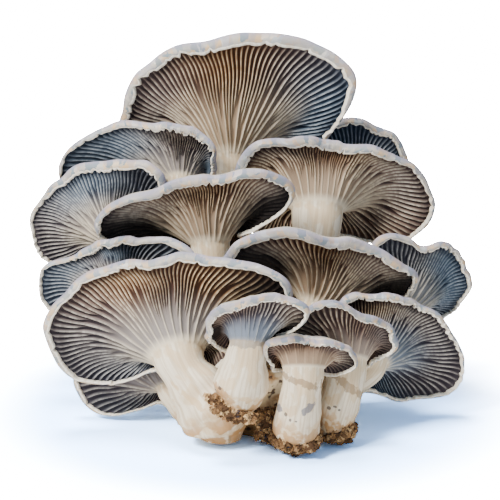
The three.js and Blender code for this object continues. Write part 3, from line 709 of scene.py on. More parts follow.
# %% Run a tree on a piece
def run_tree(piece, tree, **values):
    """Run a Geometry Nodes tree on a piece, keep its result as a plain mesh and remove the modifier."""
    modifier = piece.modifiers.new(tree.name, "NODES")
    modifier.node_group = tree
    for socket in tree.interface.items_tree:
        key = socket.name.lower().replace(" ", "_")
        if socket.in_out == "INPUT" and key in values:
            modifier[socket.identifier] = values[key]
    graph = bpy.context.evaluated_depsgraph_get()
    mesh = bpy.data.meshes.new_from_object(piece.evaluated_get(graph))
    piece.modifiers.remove(modifier)
    piece.data = mesh
    return piece


print("a tree's result is kept as a plain mesh")

# %% [markdown]
# ## Raising the gills
#
# The skin so far has smooth ground where the gills will stand. A Geometry Nodes tree raises them. It
# reads each point's place across its gill, lets the gill rise where it starts, sinks it again at the
# neck and under the lip, and moves the point out by what is left. The sizes are named inputs, so one
# tree serves every mushroom, large or small. It also writes the height down as an attribute, because the
# material paints a highlight on the crests and shade in the valleys.

# %% Reading an attribute and finishing a tree
def mark_node(tree, name, kind="FLOAT"):
    """A mark of the skin, as a Geometry Nodes tree reads it."""
    node = add_node(tree, "GeometryNodeInputNamedAttribute", {"Name": name}, data_type=kind)
    return node.outputs["Attribute"]


def finish_tree(tree, geometry, material, end):
    """Instances made real, the material set, and out."""
    whole = add_node(tree, "GeometryNodeRealizeInstances", {"Geometry": geometry})
    links = {"Geometry": whole.outputs[0], "Material": material}
    painted = add_node(tree, "GeometryNodeSetMaterial", links)
    tree.links.new(painted.outputs[0], end)


print("attributes that the tree reads: share, start, profile, out")

# %% The tree that raises the gills
LEAST_AT_NECK = 0.35
LEAST_UNDER_LIP = 0.25


def gill_tree():
    inputs = [("Geometry", "Geometry"), ("Gill Height", "Float", 0.0024), ("Rise", "Float", 0.2),
              ("Lip Sink", "Float", 0.06), ("Neck Sink", "Float", 0.22), ("Raggedness", "Float", 0.5),
              ("Material", "Material")]
    tree, given, end = new_group("raise gills", "GeometryNodeTree", inputs, ("Geometry", "Geometry"))
    share = mark_node(tree, "share")
    start = mark_node(tree, "start")
    risen = ramp(tree, share, start, maths(tree, "ADD", start, given["Rise"]))
    out_of_neck = ramp(tree, share, 0.0, given["Neck Sink"], LEAST_AT_NECK, 1.0)
    lip_start = maths(tree, "SUBTRACT", 1.0, given["Lip Sink"])
    under_lip = ramp(tree, share, lip_start, 1.0, 1.0, LEAST_UNDER_LIP)
    ragged = noise(tree, scale=160.0, detail=3.0)
    uneven = product(tree, maths(tree, "SUBTRACT", ragged, 0.5), given["Raggedness"])
    crest = product(tree, mark_node(tree, "profile"), risen, maths(tree, "ADD", 1.0, uneven))
    height = product(tree, crest, out_of_neck, under_lip, given["Gill Height"])
    offset = scaled(tree, mark_node(tree, "out", "FLOAT_VECTOR"), height)
    moved = add_node(tree, "GeometryNodeSetPosition", {"Geometry": given["Geometry"], "Offset": offset})
    links = {"Geometry": moved.outputs[0], "Name": "crest", "Value": crest}
    stored = add_node(tree, "GeometryNodeStoreNamedAttribute", links, data_type="FLOAT", domain="POINT")
    finish_tree(tree, stored.outputs[0], given["Material"], end)
    return tree


RAISE_GILLS = gill_tree()
print("inputs:", [socket.name for socket in RAISE_GILLS.interface.items_tree if socket.in_out == "INPUT"])

# %% [markdown]
# ## Finishes
#
# Four node groups are shared by the materials. Mottle lays soft blotches of a second colour over a
# first. Patches cuts the skin into squarish cells, some cooler and some warmer. Spot paints one mark at a
# place, with a wavering edge: a bruise, a stain, a nick or a cap's painted shadow. Grain gives the fine
# roughness of a skin. The flesh is one material with its own settings for each part: a painted highlight
# on the gills' ridges over painted shade in their valleys, a cream torn lip, a pale grey patchy margin, a
# slate cap and a cream stem.

# %% Mottle
def blend(tree, factor, first, second):
    """The first colour, turned into the second by the factor."""
    links = {0: factor, 6: first, 7: second}
    return add_node(tree, "ShaderNodeMix", links, data_type="RGBA").outputs[2]


def mottle_group():
    inputs = [("Base", "Color", (1, 1, 1, 1)), ("Patch", "Color", (0, 0, 0, 1)),
              ("Vector", "Vector", (0, 0, 0)), ("Scale", "Float", 100.0), ("Amount", "Float", 0.5),
              ("Level", "Float", 0.52), ("Edge", "Float", 0.1), ("Detail", "Float", 2.0)]
    tree, given, end = new_group("mottle", "ShaderNodeTree", inputs, ("Color", "Color"))
    cloud = noise(tree, vector=given["Vector"], scale=given["Scale"], detail=given["Detail"])
    low = maths(tree, "SUBTRACT", given["Level"], given["Edge"])
    high = maths(tree, "ADD", given["Level"], given["Edge"])
    mask = product(tree, ramp(tree, cloud, low, high), given["Amount"])
    tree.links.new(blend(tree, mask, given["Base"], given["Patch"]), end)
    return tree


MOTTLE = mottle_group()
print("group:", MOTTLE.name)

# %% Patches
WARP_SCALE = 40.0
WARP = (0.03, 0.03, 0.03)


def patches_group():
    inputs = [("Base", "Color", (1, 1, 1, 1)), ("Cool Patch", "Color", (0, 0, 1, 1)),
              ("Warm Patch", "Color", (1, 0, 0, 1)), ("Vector", "Vector", (0, 0, 0)),
              ("Scale", "Float", 16.0), ("Amount", "Float", 0.7)]
    tree, given, end = new_group("patches", "ShaderNodeTree", inputs, ("Color", "Color"))
    waver = noise(tree, "Color", vector=given["Vector"], scale=WARP_SCALE)
    warped = vector_maths(tree, "MULTIPLY_ADD", waver, WARP, given["Vector"])
    links = {"Vector": warped, "Scale": given["Scale"]}
    cells = add_node(tree, "ShaderNodeTexVoronoi", links, distance="CHEBYCHEV")
    cool, warm, light = add_node(tree, "ShaderNodeSeparateColor", {0: cells.outputs["Color"]}).outputs
    cool = product(tree, ramp(tree, cool, 0.4, 0.8), given["Amount"])
    warm = product(tree, ramp(tree, warm, 0.5, 0.9), given["Amount"])
    colour = blend(tree, cool, given["Base"], given["Cool Patch"])
    colour = blend(tree, warm, colour, given["Warm Patch"])
    colour = blend(tree, ramp(tree, light, 0.75, 1.0, 0.0, 0.35), colour, (1, 1, 1, 1))
    tree.links.new(colour, end)
    return tree


PATCHES = patches_group()
print("group:", PATCHES.name)

# %% Spot
WAVER_SCALE = 380.0
SPOT_EDGE = (1.1, 0.85)


def spot_group():
    inputs = [("Base", "Color", (1, 1, 1, 1)), ("Paint", "Color", (0, 0, 0, 1)),
              ("Place", "Vector", (0, 0, 0)), ("Reach", "Vector", (0.003, 0.003, 0.003)),
              ("Slope", "Float", 0.0), ("Waver", "Float", 0.6), ("Amount", "Float", 1.0)]
    tree, given, end = new_group("spot", "ShaderNodeTree", inputs, ("Color", "Color"))
    here = object_place(tree)
    away = vector_maths(tree, "SUBTRACT", here, given["Place"])
    across, back, rise = add_node(tree, "ShaderNodeSeparateXYZ", {0: away}).outputs
    rise = maths(tree, "SUBTRACT", rise, product(tree, across, given["Slope"]))
    away = add_node(tree, "ShaderNodeCombineXYZ", {0: across, 1: back, 2: rise}).outputs[0]
    far = length(tree, vector_maths(tree, "DIVIDE", away, given["Reach"]))
    cloud = noise(tree, vector=here, scale=WAVER_SCALE, detail=2.0)
    waver = product(tree, maths(tree, "SUBTRACT", cloud, 0.5), given["Waver"], 2.0)
    mask = ramp(tree, maths(tree, "ADD", far, waver), *SPOT_EDGE)
    mask = product(tree, mask, given["Amount"])
    tree.links.new(blend(tree, mask, given["Base"], given["Paint"]), end)
    return tree


SPOT = spot_group()
print("group:", SPOT.name)

# %% Grain
GRAIN_STRENGTH = 0.5


def grain_group():
    inputs = [("Scale", "Float", 900.0), ("Depth", "Float", 0.0004)]
    tree, given, end = new_group("grain", "ShaderNodeTree", inputs, ("Normal", "Vector"))
    cloud = noise(tree, vector=object_place(tree), scale=given["Scale"], detail=3.0)
    links = {"Height": cloud, "Strength": GRAIN_STRENGTH, "Distance": given["Depth"]}
    tree.links.new(add_node(tree, "ShaderNodeBump", links).outputs[0], end)
    return tree


GRAIN = grain_group()
print("group:", GRAIN.name)

# %% Short calls for the groups
def mottle(tree, base, patch, vector, scale, amount, level=0.52, edge=0.1, detail=2.0):
    links = {"Base": base, "Patch": patch, "Vector": vector, "Scale": scale, "Amount": amount,
             "Level": level, "Edge": edge, "Detail": detail}
    return add_node(tree, "ShaderNodeGroup", links, node_tree=MOTTLE).outputs[0]


def patches(tree, base, cool, warm, vector, scale, amount):
    links = {"Base": base, "Cool Patch": cool, "Warm Patch": warm, "Vector": vector, "Scale": scale,
             "Amount": amount}
    return add_node(tree, "ShaderNodeGroup", links, node_tree=PATCHES).outputs[0]


def spot(tree, base, paint, place, reach, slope=0.0, amount=1.0, waver=0.6):
    """One mark at a place in the working frame, in millimetres. The marks are stains, bruises, nicks and the
    caps' painted shadows.
    """
    place = (Vector(place) - MIDDLE) * MM
    links = {"Base": base, "Paint": paint, "Place": place, "Reach": Vector(reach) * MM,
             "Slope": slope, "Amount": amount, "Waver": waver}
    return add_node(tree, "ShaderNodeGroup", links, node_tree=SPOT).outputs[0]


def add_grain(tree, shader, scale, depth):
    grain = add_node(tree, "ShaderNodeGroup", {"Scale": scale, "Depth": depth}, node_tree=GRAIN)
    tree.links.new(grain.outputs[0], shader.inputs["Normal"])


def stretched(tree, vector, along_growth):
    """The growth vector, shortened along the growth, so that a pattern on it is drawn out into fibres."""
    return vector_maths(tree, "MULTIPLY", vector, (1.0, 1.0, along_growth))


print("each call places its group in a material")

# %% Start a material
SOFT_SHINE = 0.2


def new_material(name, roughness):
    """A Principled material with a weak shine, as soft flesh has."""
    material = bpy.data.materials.new(name)
    material.use_nodes = True
    shader = material.node_tree.nodes["Principled BSDF"]
    shader.inputs["Roughness"].default_value = roughness
    shader.inputs["Specular IOR Level"].default_value = SOFT_SHINE
    return material, material.node_tree, shader


def read_mark(tree, name, output="Fac"):
    """A mark of the skin, as a material reads it."""
    return add_node(tree, "ShaderNodeAttribute", attribute_name=name).outputs[output]


def srgb(red, green, blue):
    """A colour as it looks on the screen, from 0 to 255, as the light values that Blender mixes."""
    def light(value):
        value = value / 255
        return value / 12.92 if value <= 0.04045 else ((value + 0.055) / 1.055) ** 2.4
    return light(red), light(green), light(blue), 1


print("a cream:", [round(value, 3) for value in srgb(232, 222, 202)])

# %% [markdown]
# ### The colours of the gills
#
# Gills catch the light on their crests and lose it in between, and here the colours paint that: a
# painted highlight on the thin crest, a middling flank and painted shade in the valley, three tones that
# do it better than two. Each comes warm and cool, because some caps here are brown underneath and some
# blue-grey, and a few are both; the blue-grey at a cap's sides is partly painted blue shade. The painted
# shade in the valleys is lighter near the stem, where the gills are low. Painted shade darkens the gills
# where the margin overhangs them, and makes them nearly black in a hollow.

# %% The gills
# Crest colours are a painted highlight and valley colours painted shade; the inner ones are the lighter
# painted shade of the low valleys near the stem, and the hollow colour is the painted shade of the hollows.
CREST_HIGHLIGHT_WARM = srgb(236, 212, 174)
CREST_HIGHLIGHT_COOL = srgb(172, 184, 198)
FLANK_WARM = srgb(148, 114, 82)
FLANK_COOL = srgb(96, 112, 130)
VALLEY_SHADE_WARM = srgb(70, 42, 22)
VALLEY_SHADE_COOL = srgb(34, 48, 66)
INNER_SHADE_WARM = srgb(138, 108, 78)
INNER_SHADE_COOL = srgb(108, 122, 142)
NECK_CREAM = srgb(238, 226, 202)
HOLLOW_SHADE = srgb(14, 12, 18)
MOST_HOLLOW_SHADE = 0.94


def gill_colour(tree, row, share, growth_vector):
    # The cool mark is the caps' blue-grey, partly painted blue shade.
    cool = read_mark(tree, "cool")
    crest = read_mark(tree, "crest")
    # Painted shade in the valleys: lighter near the stem where the gills are low, darker further out.
    inner = blend(tree, cool, INNER_SHADE_WARM, INNER_SHADE_COOL)
    outer = blend(tree, cool, VALLEY_SHADE_WARM, VALLEY_SHADE_COOL)
    valley = blend(tree, ramp(tree, share, 0.1, 0.6), inner, outer)
    flank = blend(tree, cool, FLANK_WARM, FLANK_COOL)
    ridge = blend(tree, cool, CREST_HIGHLIGHT_WARM, CREST_HIGHLIGHT_COOL)
    fibres = stretched(tree, growth_vector, 0.5)
    ridge = mottle(tree, ridge, flank, fibres, scale=9.0, amount=0.7, edge=0.16)
    # Painted shade in the valleys and a painted highlight on the crests, by the gills' height.
    colour = blend(tree, ramp(tree, crest, 0.02, 0.4), valley, flank)
    colour = blend(tree, ramp(tree, crest, 0.45, 0.8), colour, ridge)
    crest_first = ramp(tree, crest, 0.0, 0.8, 0.25, 1.0)
    near_neck = product(tree, ramp(tree, share, 0.35 + 0.4 * row["pale"], 0.03), crest_first, row["pale"])
    colour = blend(tree, near_neck, colour, NECK_CREAM)
    at_neck = ramp(tree, share, 0.09, 0.0, 0.0, min(2 * row["pale"], 1))
    colour = blend(tree, at_neck, colour, NECK_CREAM)
    # Painted shade where the margin overhangs the gills.
    under_margin_shade = ramp(tree, share, 0.8, 1.0, 0.0, 0.75)
    colour = blend(tree, under_margin_shade, colour, outer)
    # Painted shade, nearly black, in the hollows that the row lists.
    hollow_shade = product(tree, read_mark(tree, "dark"), MOST_HOLLOW_SHADE)
    return blend(tree, hollow_shade, colour, HOLLOW_SHADE)


print("dark between warm gills:", [round(value, 3) for value in VALLEY_SHADE_WARM])

# %% [markdown]
# ### Margin, lip, top and stem
#
# The margin is pale and slightly dirty, in soft squarish patches of blue-grey and beige, with a hint of
# lilac at its outer edge. The lip is a bright torn line. The top of the cap, which shows from behind, is
# slate with darker fibres that run out from the middle. The stem is cream with long fibres and tan
# patches, and more ochre towards its foot.

# %% The other parts of the flesh
MARGIN_PALE = srgb(188, 182, 172)
MARGIN_BLUE = srgb(128, 142, 150)
MARGIN_BEIGE = srgb(206, 178, 142)
MARGIN_SHADE = srgb(148, 148, 162)
MARGIN_LILAC = srgb(136, 132, 158)
LIP_CREAM = srgb(252, 248, 236)
LIP_WORN = srgb(222, 206, 182)
TOP_SLATE = srgb(118, 118, 126)
TOP_DARK = srgb(74, 76, 88)
TOP_TAUPE = srgb(140, 128, 116)
STEM_CREAM = srgb(236, 226, 206)
STEM_SHADE = srgb(190, 168, 136)
STEM_TAN = srgb(212, 186, 146)
STEM_OCHRE = srgb(176, 132, 82)


def margin_colour(tree, share, growth_vector):
    colour = patches(tree, MARGIN_PALE, MARGIN_BLUE, MARGIN_BEIGE, growth_vector, scale=13.0, amount=1.0)
    colour = mottle(tree, colour, MARGIN_SHADE, growth_vector, scale=9.0, amount=0.45, level=0.53,
                    edge=0.03)
    at_edge = ramp(tree, share, 0.982, 1.0, 0.0, 0.6)
    return blend(tree, at_edge, colour, MARGIN_LILAC)


def top_colour(tree, share, growth_vector, margin):
    fibres = stretched(tree, growth_vector, 0.1)
    colour = mottle(tree, TOP_SLATE, TOP_TAUPE, growth_vector, scale=2.4, amount=0.55, edge=0.12)
    colour = mottle(tree, colour, TOP_DARK, fibres, scale=34.0, amount=0.65, edge=0.12, detail=4.0)
    return blend(tree, ramp(tree, share, 0.72, 1.0), colour, margin)


def stem_colour(tree, growth_vector):
    way = read_mark(tree, "way")
    fibres = stretched(tree, growth_vector, 0.08)
    colour = mottle(tree, STEM_CREAM, STEM_SHADE, fibres, scale=7.0, amount=0.6, detail=4.0)
    colour = mottle(tree, colour, STEM_TAN, growth_vector, scale=1.3, amount=0.55, level=0.54, edge=0.02)
    low = product(tree, ramp(tree, way, 0.5, 0.8), 0.8)
    return mottle(tree, colour, STEM_OCHRE, growth_vector, scale=2.2, amount=low, level=0.47, edge=0.05)


print("slate top:", [round(value, 3) for value in TOP_SLATE])

# %% [markdown]
# ### Bruises, stains and painted shadows
#
# A few marks are easy to see in the photo, so they are painted where they are: the dull rings below the
# caps of the small mushrooms, the brown ones being the caps' painted shadows on their stems, the slate
# bruise on the middle one, small dark nicks near the feet and ochre and brown streaks on the bulb at the
# front left. Each has its colour, place, reach and slope.

# %% Stains and painted shadows on the stems
# The brown rings just under the small middle and right caps are those caps' painted shadows; on the front
# left bulb the same brown is a real streak.
BROWN_SHADOW_RING_AND_STREAK = srgb(150, 126, 98)
RING_GREY = srgb(150, 142, 134)
BRUISE = srgb(96, 102, 122)
NICK = srgb(52, 46, 54)
STAINS_AND_SHADOW_RINGS = {
    "small_left_mushroom": [
        (RING_GREY, (-1, -21, 55), (14, 14, 2.4), 0.0),
        (STEM_OCHRE, (-12, -24, 33), (4, 8, 2.5), -0.5),
        (STEM_TAN, (-3, -24, 31), (7, 8, 1.6), -0.2),
        (NICK, (-13, -24, 35), (0.8, 8, 0.9), 0.0),
        (NICK, (-15, -24, 33), (0.6, 8, 0.6), 0.0),
    ],
    "small_middle_mushroom": [
        # The brown ring is the cap's painted shadow on the stem.
        (BROWN_SHADOW_RING_AND_STREAK, (22.5, -18, 38), (14, 14, 2.5), -0.3),
        (BRUISE, (24.8, -24, 26), (2.5, 8, 2.2), 0.5),
        (BRUISE, (12.8, -20, 24), (1.2, 8, 1.8), 0.0),
        (NICK, (15.4, -24, 22.4), (0.7, 8, 0.9), 0.0),
        (NICK, (17.2, -24, 20.2), (0.6, 8, 0.7), 0.0),
        (NICK, (19.9, -24, 19.8), (0.7, 8, 0.5), 0.0),
    ],
    "small_right_mushroom": [
        # The brown ring is the cap's painted shadow on the stem.
        (BROWN_SHADOW_RING_AND_STREAK, (41, -2, 32), (16, 16, 2.7), -0.85),
        (NICK, (34.5, -9, 20.5), (1.0, 8, 0.7), 0.0),
        (NICK, (37, -9, 21.5), (0.9, 8, 0.6), 0.0),
        (NICK, (39, -9, 20), (0.7, 8, 0.6), 0.0),
    ],
    "front_left_mushroom": [
        (STEM_OCHRE, (-5, -12, 9), (4, 9, 1.3), 0.5),
        (BROWN_SHADOW_RING_AND_STREAK, (-9, -12, 5), (0.8, 9, 4), 1.5),
        (STEM_OCHRE, (-16, -12, 4), (5, 9, 1.6), -0.6),
        (STEM_TAN, (-24, -8, 24), (10, 12, 1.8), -0.7),
    ],
}


print("stains on", ", ".join(STAINS_AND_SHADOW_RINGS))

# %% The material of a mushroom
STAIN_AND_SHADOW_AMOUNT = 0.75
STAIN_AND_SHADOW_WAVER = 0.9


def flesh_material(row):
    name = "flesh of " + row["name"].replace("_", " ")
    material, tree, shader = new_material(name, 0.7)
    part = read_mark(tree, "part")
    share = read_mark(tree, "share")
    vector = read_mark(tree, "growth", "Vector")
    margin = margin_colour(tree, share, vector)
    stem = stem_colour(tree, vector)
    # Stains, and the caps' painted shadows on the small stems.
    for paint, place, reach, slope in STAINS_AND_SHADOW_RINGS.get(row["name"], []):
        stem = spot(tree, stem, paint, place, reach, slope, STAIN_AND_SHADOW_AMOUNT, STAIN_AND_SHADOW_WAVER)
    colour = blend(tree, ramp(tree, part, 0.0, 1.0), stem, gill_colour(tree, row, share, vector))
    lip = mottle(tree, LIP_CREAM, LIP_WORN, vector, scale=30.0, amount=0.6, level=0.54, edge=0.05)
    colour = blend(tree, ramp(tree, part, 1.6, 1.95), colour, lip)
    colour = blend(tree, ramp(tree, part, 2.4, 2.9), colour, margin)
    colour = blend(tree, ramp(tree, part, 3.0, 4.0), colour, top_colour(tree, share, vector, margin))
    tree.links.new(colour, shader.inputs["Base Color"])
    add_grain(tree, shader, scale=900.0, depth=0.00025)
    return material


print("parts of the flesh: stem, gills, lip, margin and top")

# %% [markdown]
# ## Build the mushrooms
#
# Gills are taller on a large cap than on a small one, so the height follows the cap's longest reach.

# %% Build the mushrooms
GILL_HEIGHT = 2.3
LARGE_REACH = 60


def make_mushroom(row):
    piece = mushroom_skin(row)
    height = GILL_HEIGHT * (0.5 + 0.5 * max(row["reach"]) / LARGE_REACH)
    run_tree(piece, RAISE_GILLS, gill_height=height * MM, material=flesh_material(row))
    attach(piece, "root")
    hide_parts(row["name"])
    return piece


for row in MUSHROOMS:
    print(row["name"], len(make_mushroom(row).data.polygons), "faces")

# %% [markdown]
# ## The fused base
#
# All the stems grow from one knobbly lump of flesh. Little of it shows from the front, a dirty tan piece
# between the small stems. Behind, it is a low mound. The same formula as the solid's shapes it, with
# many more points and some unevenness.

# %% The shape of the base
BASE_MIDDLE = (4, 51)
BASE_HALF = (40, 47)
BASE_HEIGHT = 32
BASE_LEVELS = ((0, 1.03), (0.3, 1), (0.62, 0.92), (0.9, 0.66), (1, 0.3), (0.9, 0))
BASE_COLUMNS = 220
BASE_RINGS = 70
SPUR_TOWARDS = 2.65
SPUR_SPREAD = 0.45
SPUR_REACH = 0.2
KNOB_SIZE = 0.05
SMALL_KNOB_SIZE = 0.03
CREST_WAVE = 1.5
COARSE_LUMP = 0.9
FINE_LUMP = 0.4
LUMP_RISE = 0.6


def base_profile(part):
    """Share of the width and share of the height, part of the way from the top down to the underside."""
    shares, rises = zip(*BASE_LEVELS)
    return along(shares, part), along(rises, part)


def base_skin():
    phi = np.arange(BASE_COLUMNS) * TURN / BASE_COLUMNS
    spur = SPUR_REACH * np.exp(-(((phi - SPUR_TOWARDS) / SPUR_SPREAD) ** 2))
    away = np.stack([np.sin(phi), np.cos(phi), np.full_like(phi, LUMP_RISE)], axis=1)
    skin = Skin()
    skin.ring(np.array([[*BASE_MIDDLE, BASE_HEIGHT + 1]]))
    for number in range(1, BASE_RINGS + 1):
        share, rise = base_profile(number / BASE_RINGS)
        knob = 1 + spur + KNOB_SIZE * np.sin(5 * phi + 0.7) + SMALL_KNOB_SIZE * np.sin(9 * phi + 4 * rise)
        x = BASE_MIDDLE[0] + np.sin(phi) * BASE_HALF[0] * share * knob
        y = BASE_MIDDLE[1] + np.cos(phi) * BASE_HALF[1] * share * knob
        z = rise * (BASE_HEIGHT + CREST_WAVE * np.sin(3 * phi + 1))
        points = np.stack([x, y, z], axis=1)
        rough = COARSE_LUMP * lumps(points, 11, 21) + FINE_LUMP * lumps(points, 4, 22)
        points = points + away * (rough * min(rise * 6, 1))[:, None]
        skin.ring(points, growth=growth(phi, share))
    skin.ring(np.array([[*BASE_MIDDLE, 0]]))
    return skin


print("rings on the base:", BASE_RINGS)

# %% The base and its finish
BASE_CREAM = srgb(206, 186, 152)
BASE_TAN = srgb(150, 112, 72)
BASE_DIRT = srgb(66, 48, 36)


def base_material():
    material, tree, shader = new_material("base flesh", 0.75)
    place = object_place(tree)
    colour = mottle(tree, BASE_CREAM, BASE_TAN, place, scale=90.0, amount=0.9, edge=0.06, detail=3.0)
    colour = mottle(tree, colour, BASE_DIRT, place, scale=260.0, amount=0.9, level=0.6, edge=0.04,
                    detail=3.0)
    tree.links.new(colour, shader.inputs["Base Color"])
    add_grain(tree, shader, scale=500.0, depth=0.0008)
    return material


def make_base():
    piece = base_skin().piece("base_flesh_skin")
    piece.data.materials.append(base_material())
    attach(piece, "root")
    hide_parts("fused_base")
    return piece


print("the base has", len(make_base().data.polygons), "faces")

# %% [markdown]
# ## Crumbs of growing medium
#
# Bits of the sawdust block that the cluster grew on still cling to the stem ends. They are loose brown
# grains, so each lump is a small dark core with a few clods on it, and hundreds of grains scattered over
# both. A Geometry Nodes tree does the scattering. One grain is a cube with its corners pulled in and
# dented, and every instance gets its own size, turn and tint. The lump on the left stem is a row of five
# small cores, because it clings along that stem's lower edge.

# %% One grain
GRAIN_SIZES = (0.16, 0.66)


def random_value(tree, low, high, seed, kind="FLOAT"):
    """A random number or vector for each instance, between two values or sockets."""
    node = add_node(tree, "FunctionNodeRandomValue", data_type=kind)
    numbers = [socket for socket in node.inputs if socket.enabled and socket.name in ("Min", "Max")]
    for socket, value in zip(numbers, (low, high)):
        if isinstance(value, bpy.types.NodeSocket):
            tree.links.new(value, socket)
        else:
            socket.default_value = value
    node.inputs["Seed"].default_value = seed
    return next(socket for socket in node.outputs if socket.enabled)


def grain_shape(tree):
    """A dented ball of two dozen faces, about one across."""
    cube = add_node(tree, "GeometryNodeMeshCube", {"Vertices X": 3, "Vertices Y": 3, "Vertices Z": 3})
    place = tree.nodes.new("GeometryNodeInputPosition").outputs[0]
    size = ramp(tree, noise(tree, scale=2.6, detail=2.0), 0.34, 0.66, *GRAIN_SIZES)
    dented = scaled(tree, vector_maths(tree, "NORMALIZE", place), size)
    links = {"Geometry": cube.outputs[0], "Position": dented}
    return add_node(tree, "GeometryNodeSetPosition", links).outputs[0]


print("a grain's radius before scaling is from", GRAIN_SIZES[0], "to", GRAIN_SIZES[1])

# %% The tree that scatters crumbs
def crumb_tree():
    inputs = [("Geometry", "Geometry"), ("Density", "Float", 300000.0), ("Smallest", "Float", 0.0012),
              ("Largest", "Float", 0.0038), ("Seed", "Int", 1), ("Material", "Material")]
    tree, given, end = new_group("scatter crumbs", "GeometryNodeTree", inputs, ("Geometry", "Geometry"))
    links = {"Mesh": given["Geometry"], "Density": given["Density"], "Seed": given["Seed"]}
    points = add_node(tree, "GeometryNodeDistributePointsOnFaces", links).outputs["Points"]
    links = {"Points": points, "Instance": grain_shape(tree),
             "Rotation": random_value(tree, (0, 0, 0), (TURN, TURN, TURN), 3, "FLOAT_VECTOR"),
             "Scale": random_value(tree, given["Smallest"], given["Largest"], 4)}
    grains = add_node(tree, "GeometryNodeInstanceOnPoints", links).outputs[0]
    links = {"Geometry": grains, "Name": "tint", "Value": random_value(tree, 0.0, 1.0, 5)}
    tinted = add_node(tree, "GeometryNodeStoreNamedAttribute", links, data_type="FLOAT",
                      domain="INSTANCE")
    joined = tree.nodes.new("GeometryNodeJoinGeometry")
    tree.links.new(tinted.outputs[0], joined.inputs[0])
    tree.links.new(given["Geometry"], joined.inputs[0])
    finish_tree(tree, joined.outputs[0], given["Material"], end)
    return tree


SCATTER_CRUMBS = crumb_tree()
print("inputs:", [socket.name for socket in SCATTER_CRUMBS.interface.items_tree if socket.in_out == "INPUT"])

# %% The finish of the crumbs
CRUMB_DARK = srgb(84, 62, 44)
CRUMB_BROWN = srgb(148, 114, 78)
CRUMB_OCHRE = srgb(206, 174, 130)
CRUMB_BLUE = srgb(48, 48, 60)


def crumb_material():
    material, tree, shader = new_material("crumbs of growing medium", 0.9)
    tint = read_mark(tree, "tint")
    colour = blend(tree, ramp(tree, tint, 0.05, 0.4), CRUMB_DARK, CRUMB_BROWN)
    colour = blend(tree, ramp(tree, tint, 0.6, 0.85), colour, CRUMB_OCHRE)
    colour = blend(tree, ramp(tree, tint, 0.965, 0.97), colour, CRUMB_BLUE)
    colour = mottle(tree, colour, CRUMB_DARK, object_place(tree), scale=700.0, amount=0.6)
    tree.links.new(colour, shader.inputs["Base Color"])
    add_grain(tree, shader, scale=1200.0, depth=0.0004)
    return material


CRUMBS = crumb_material()
print("material:", CRUMBS.name)

# %% The lumps of crumbs
CORE = 0.84
SMALL_CORE = 0.36
MIDDLING_CORE = 0.42
CORE_POINTS = (48, 24)
CORE_DENTS = 0.16
CLODS = 14
CLOD_POINTS = (12, 8)
CLOD_SIZES = (0.2, 0.42)
LUMPS = [
    dict(name="crumbs_small_left", at=(-8.5, -24, 25), size=(10, 6, 5.5), seed=3,
         cores=((-7, 1.5, 4, SMALL_CORE), (-4, -0.5, 0.5, MIDDLING_CORE), (0, -1.5, -2, SMALL_CORE),
                (4.5, -1, -3, MIDDLING_CORE), (8, -0.5, -3.5, SMALL_CORE))),
    dict(name="crumbs_small_middle", at=(20.5, -13, 8), size=(12, 10.5, 7), seed=5),
    dict(name="crumbs_small_right", at=(39, -0.5, 8), size=(9.5, 9, 7), seed=8),
    dict(name="crumbs_base", at=(9, 0, 9), size=(6.5, 6.5, 9), seed=13),
]


def add_ball(skin, middle, size, points, seed):
    """A closed lumpy ball with its poles up and down, of so many points round and from pole to pole."""
    columns, rings = points
    phi = np.arange(columns) * TURN / columns
    pole = np.array([[0, 0, size[2]]])
    skin.last = None
    skin.ring(middle + pole)
    for number in range(1, rings):
        level = math.cos(math.pi * number / rings)
        grain = 1 + CORE_DENTS * np.sin(5 * phi + seed + 9 * level) * np.cos(7 * level + 3 * phi)
        across = math.sqrt(1 - level**2) * grain
        ball = np.stack([np.sin(phi) * across, np.cos(phi) * across, np.full_like(phi, level)], axis=1)
        skin.ring(middle + ball * size)
    skin.ring(middle - pole)


def lump_skin(at, size, seed, cores=((0, 0, 0, CORE),)):
    """Cores, each given by its shift from the middle and its share of the size, with clods on them."""
    draw = np.random.default_rng(seed)
    skin = Skin()
    for *shift, scale in cores:
        middle = np.array(at) + shift
        core = scale * np.array(size)
        add_ball(skin, middle, core, CORE_POINTS, seed)
        for number in range(CLODS // len(cores)):
            way = draw.normal(size=3)
            way = way / np.linalg.norm(way)
            reach = draw.uniform(*CLOD_SIZES) * min(core)
            add_ball(skin, middle + way * core, np.full(3, reach), CLOD_POINTS, seed + number)
    return skin


def make_crumbs(name, seed, **shape):
    piece = lump_skin(seed=seed, **shape).piece(name + "_grains")
    run_tree(piece, SCATTER_CRUMBS, seed=seed, material=CRUMBS)
    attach(piece, "root")
    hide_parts(name)
    return piece


for lump in LUMPS:
    print(lump["name"], len(make_crumbs(**lump).data.polygons), "faces")

# %% [markdown]
# ## Floor, light and camera
#
# The photo is on plain white with a soft blue shadow. The floor is plain and pale. For the camera alone
# it is turned up: less and bluish near the cluster, which paints a blue shadow pool round it, and white
# further off, so that it looks bright but doesn't flood the mushrooms with light from below. The key
# light is warm and high on the left, a second one stands right above, and the room fills in with a
# cool light.

# %% The floor
FLOOR_HALF = 4.0
# Near the cluster the camera's gain is lower and bluish: a painted blue shadow pool on the floor.
SHADOW_POOL_GAIN = (1.7, 2.8, 4.8, 1)
FAR_GAIN = (45, 45, 45, 1)
GAIN_TURNS = (0.09, 0.26)
CORNERS = ((-1, -1), (1, -1), (1, 1), (-1, 1))


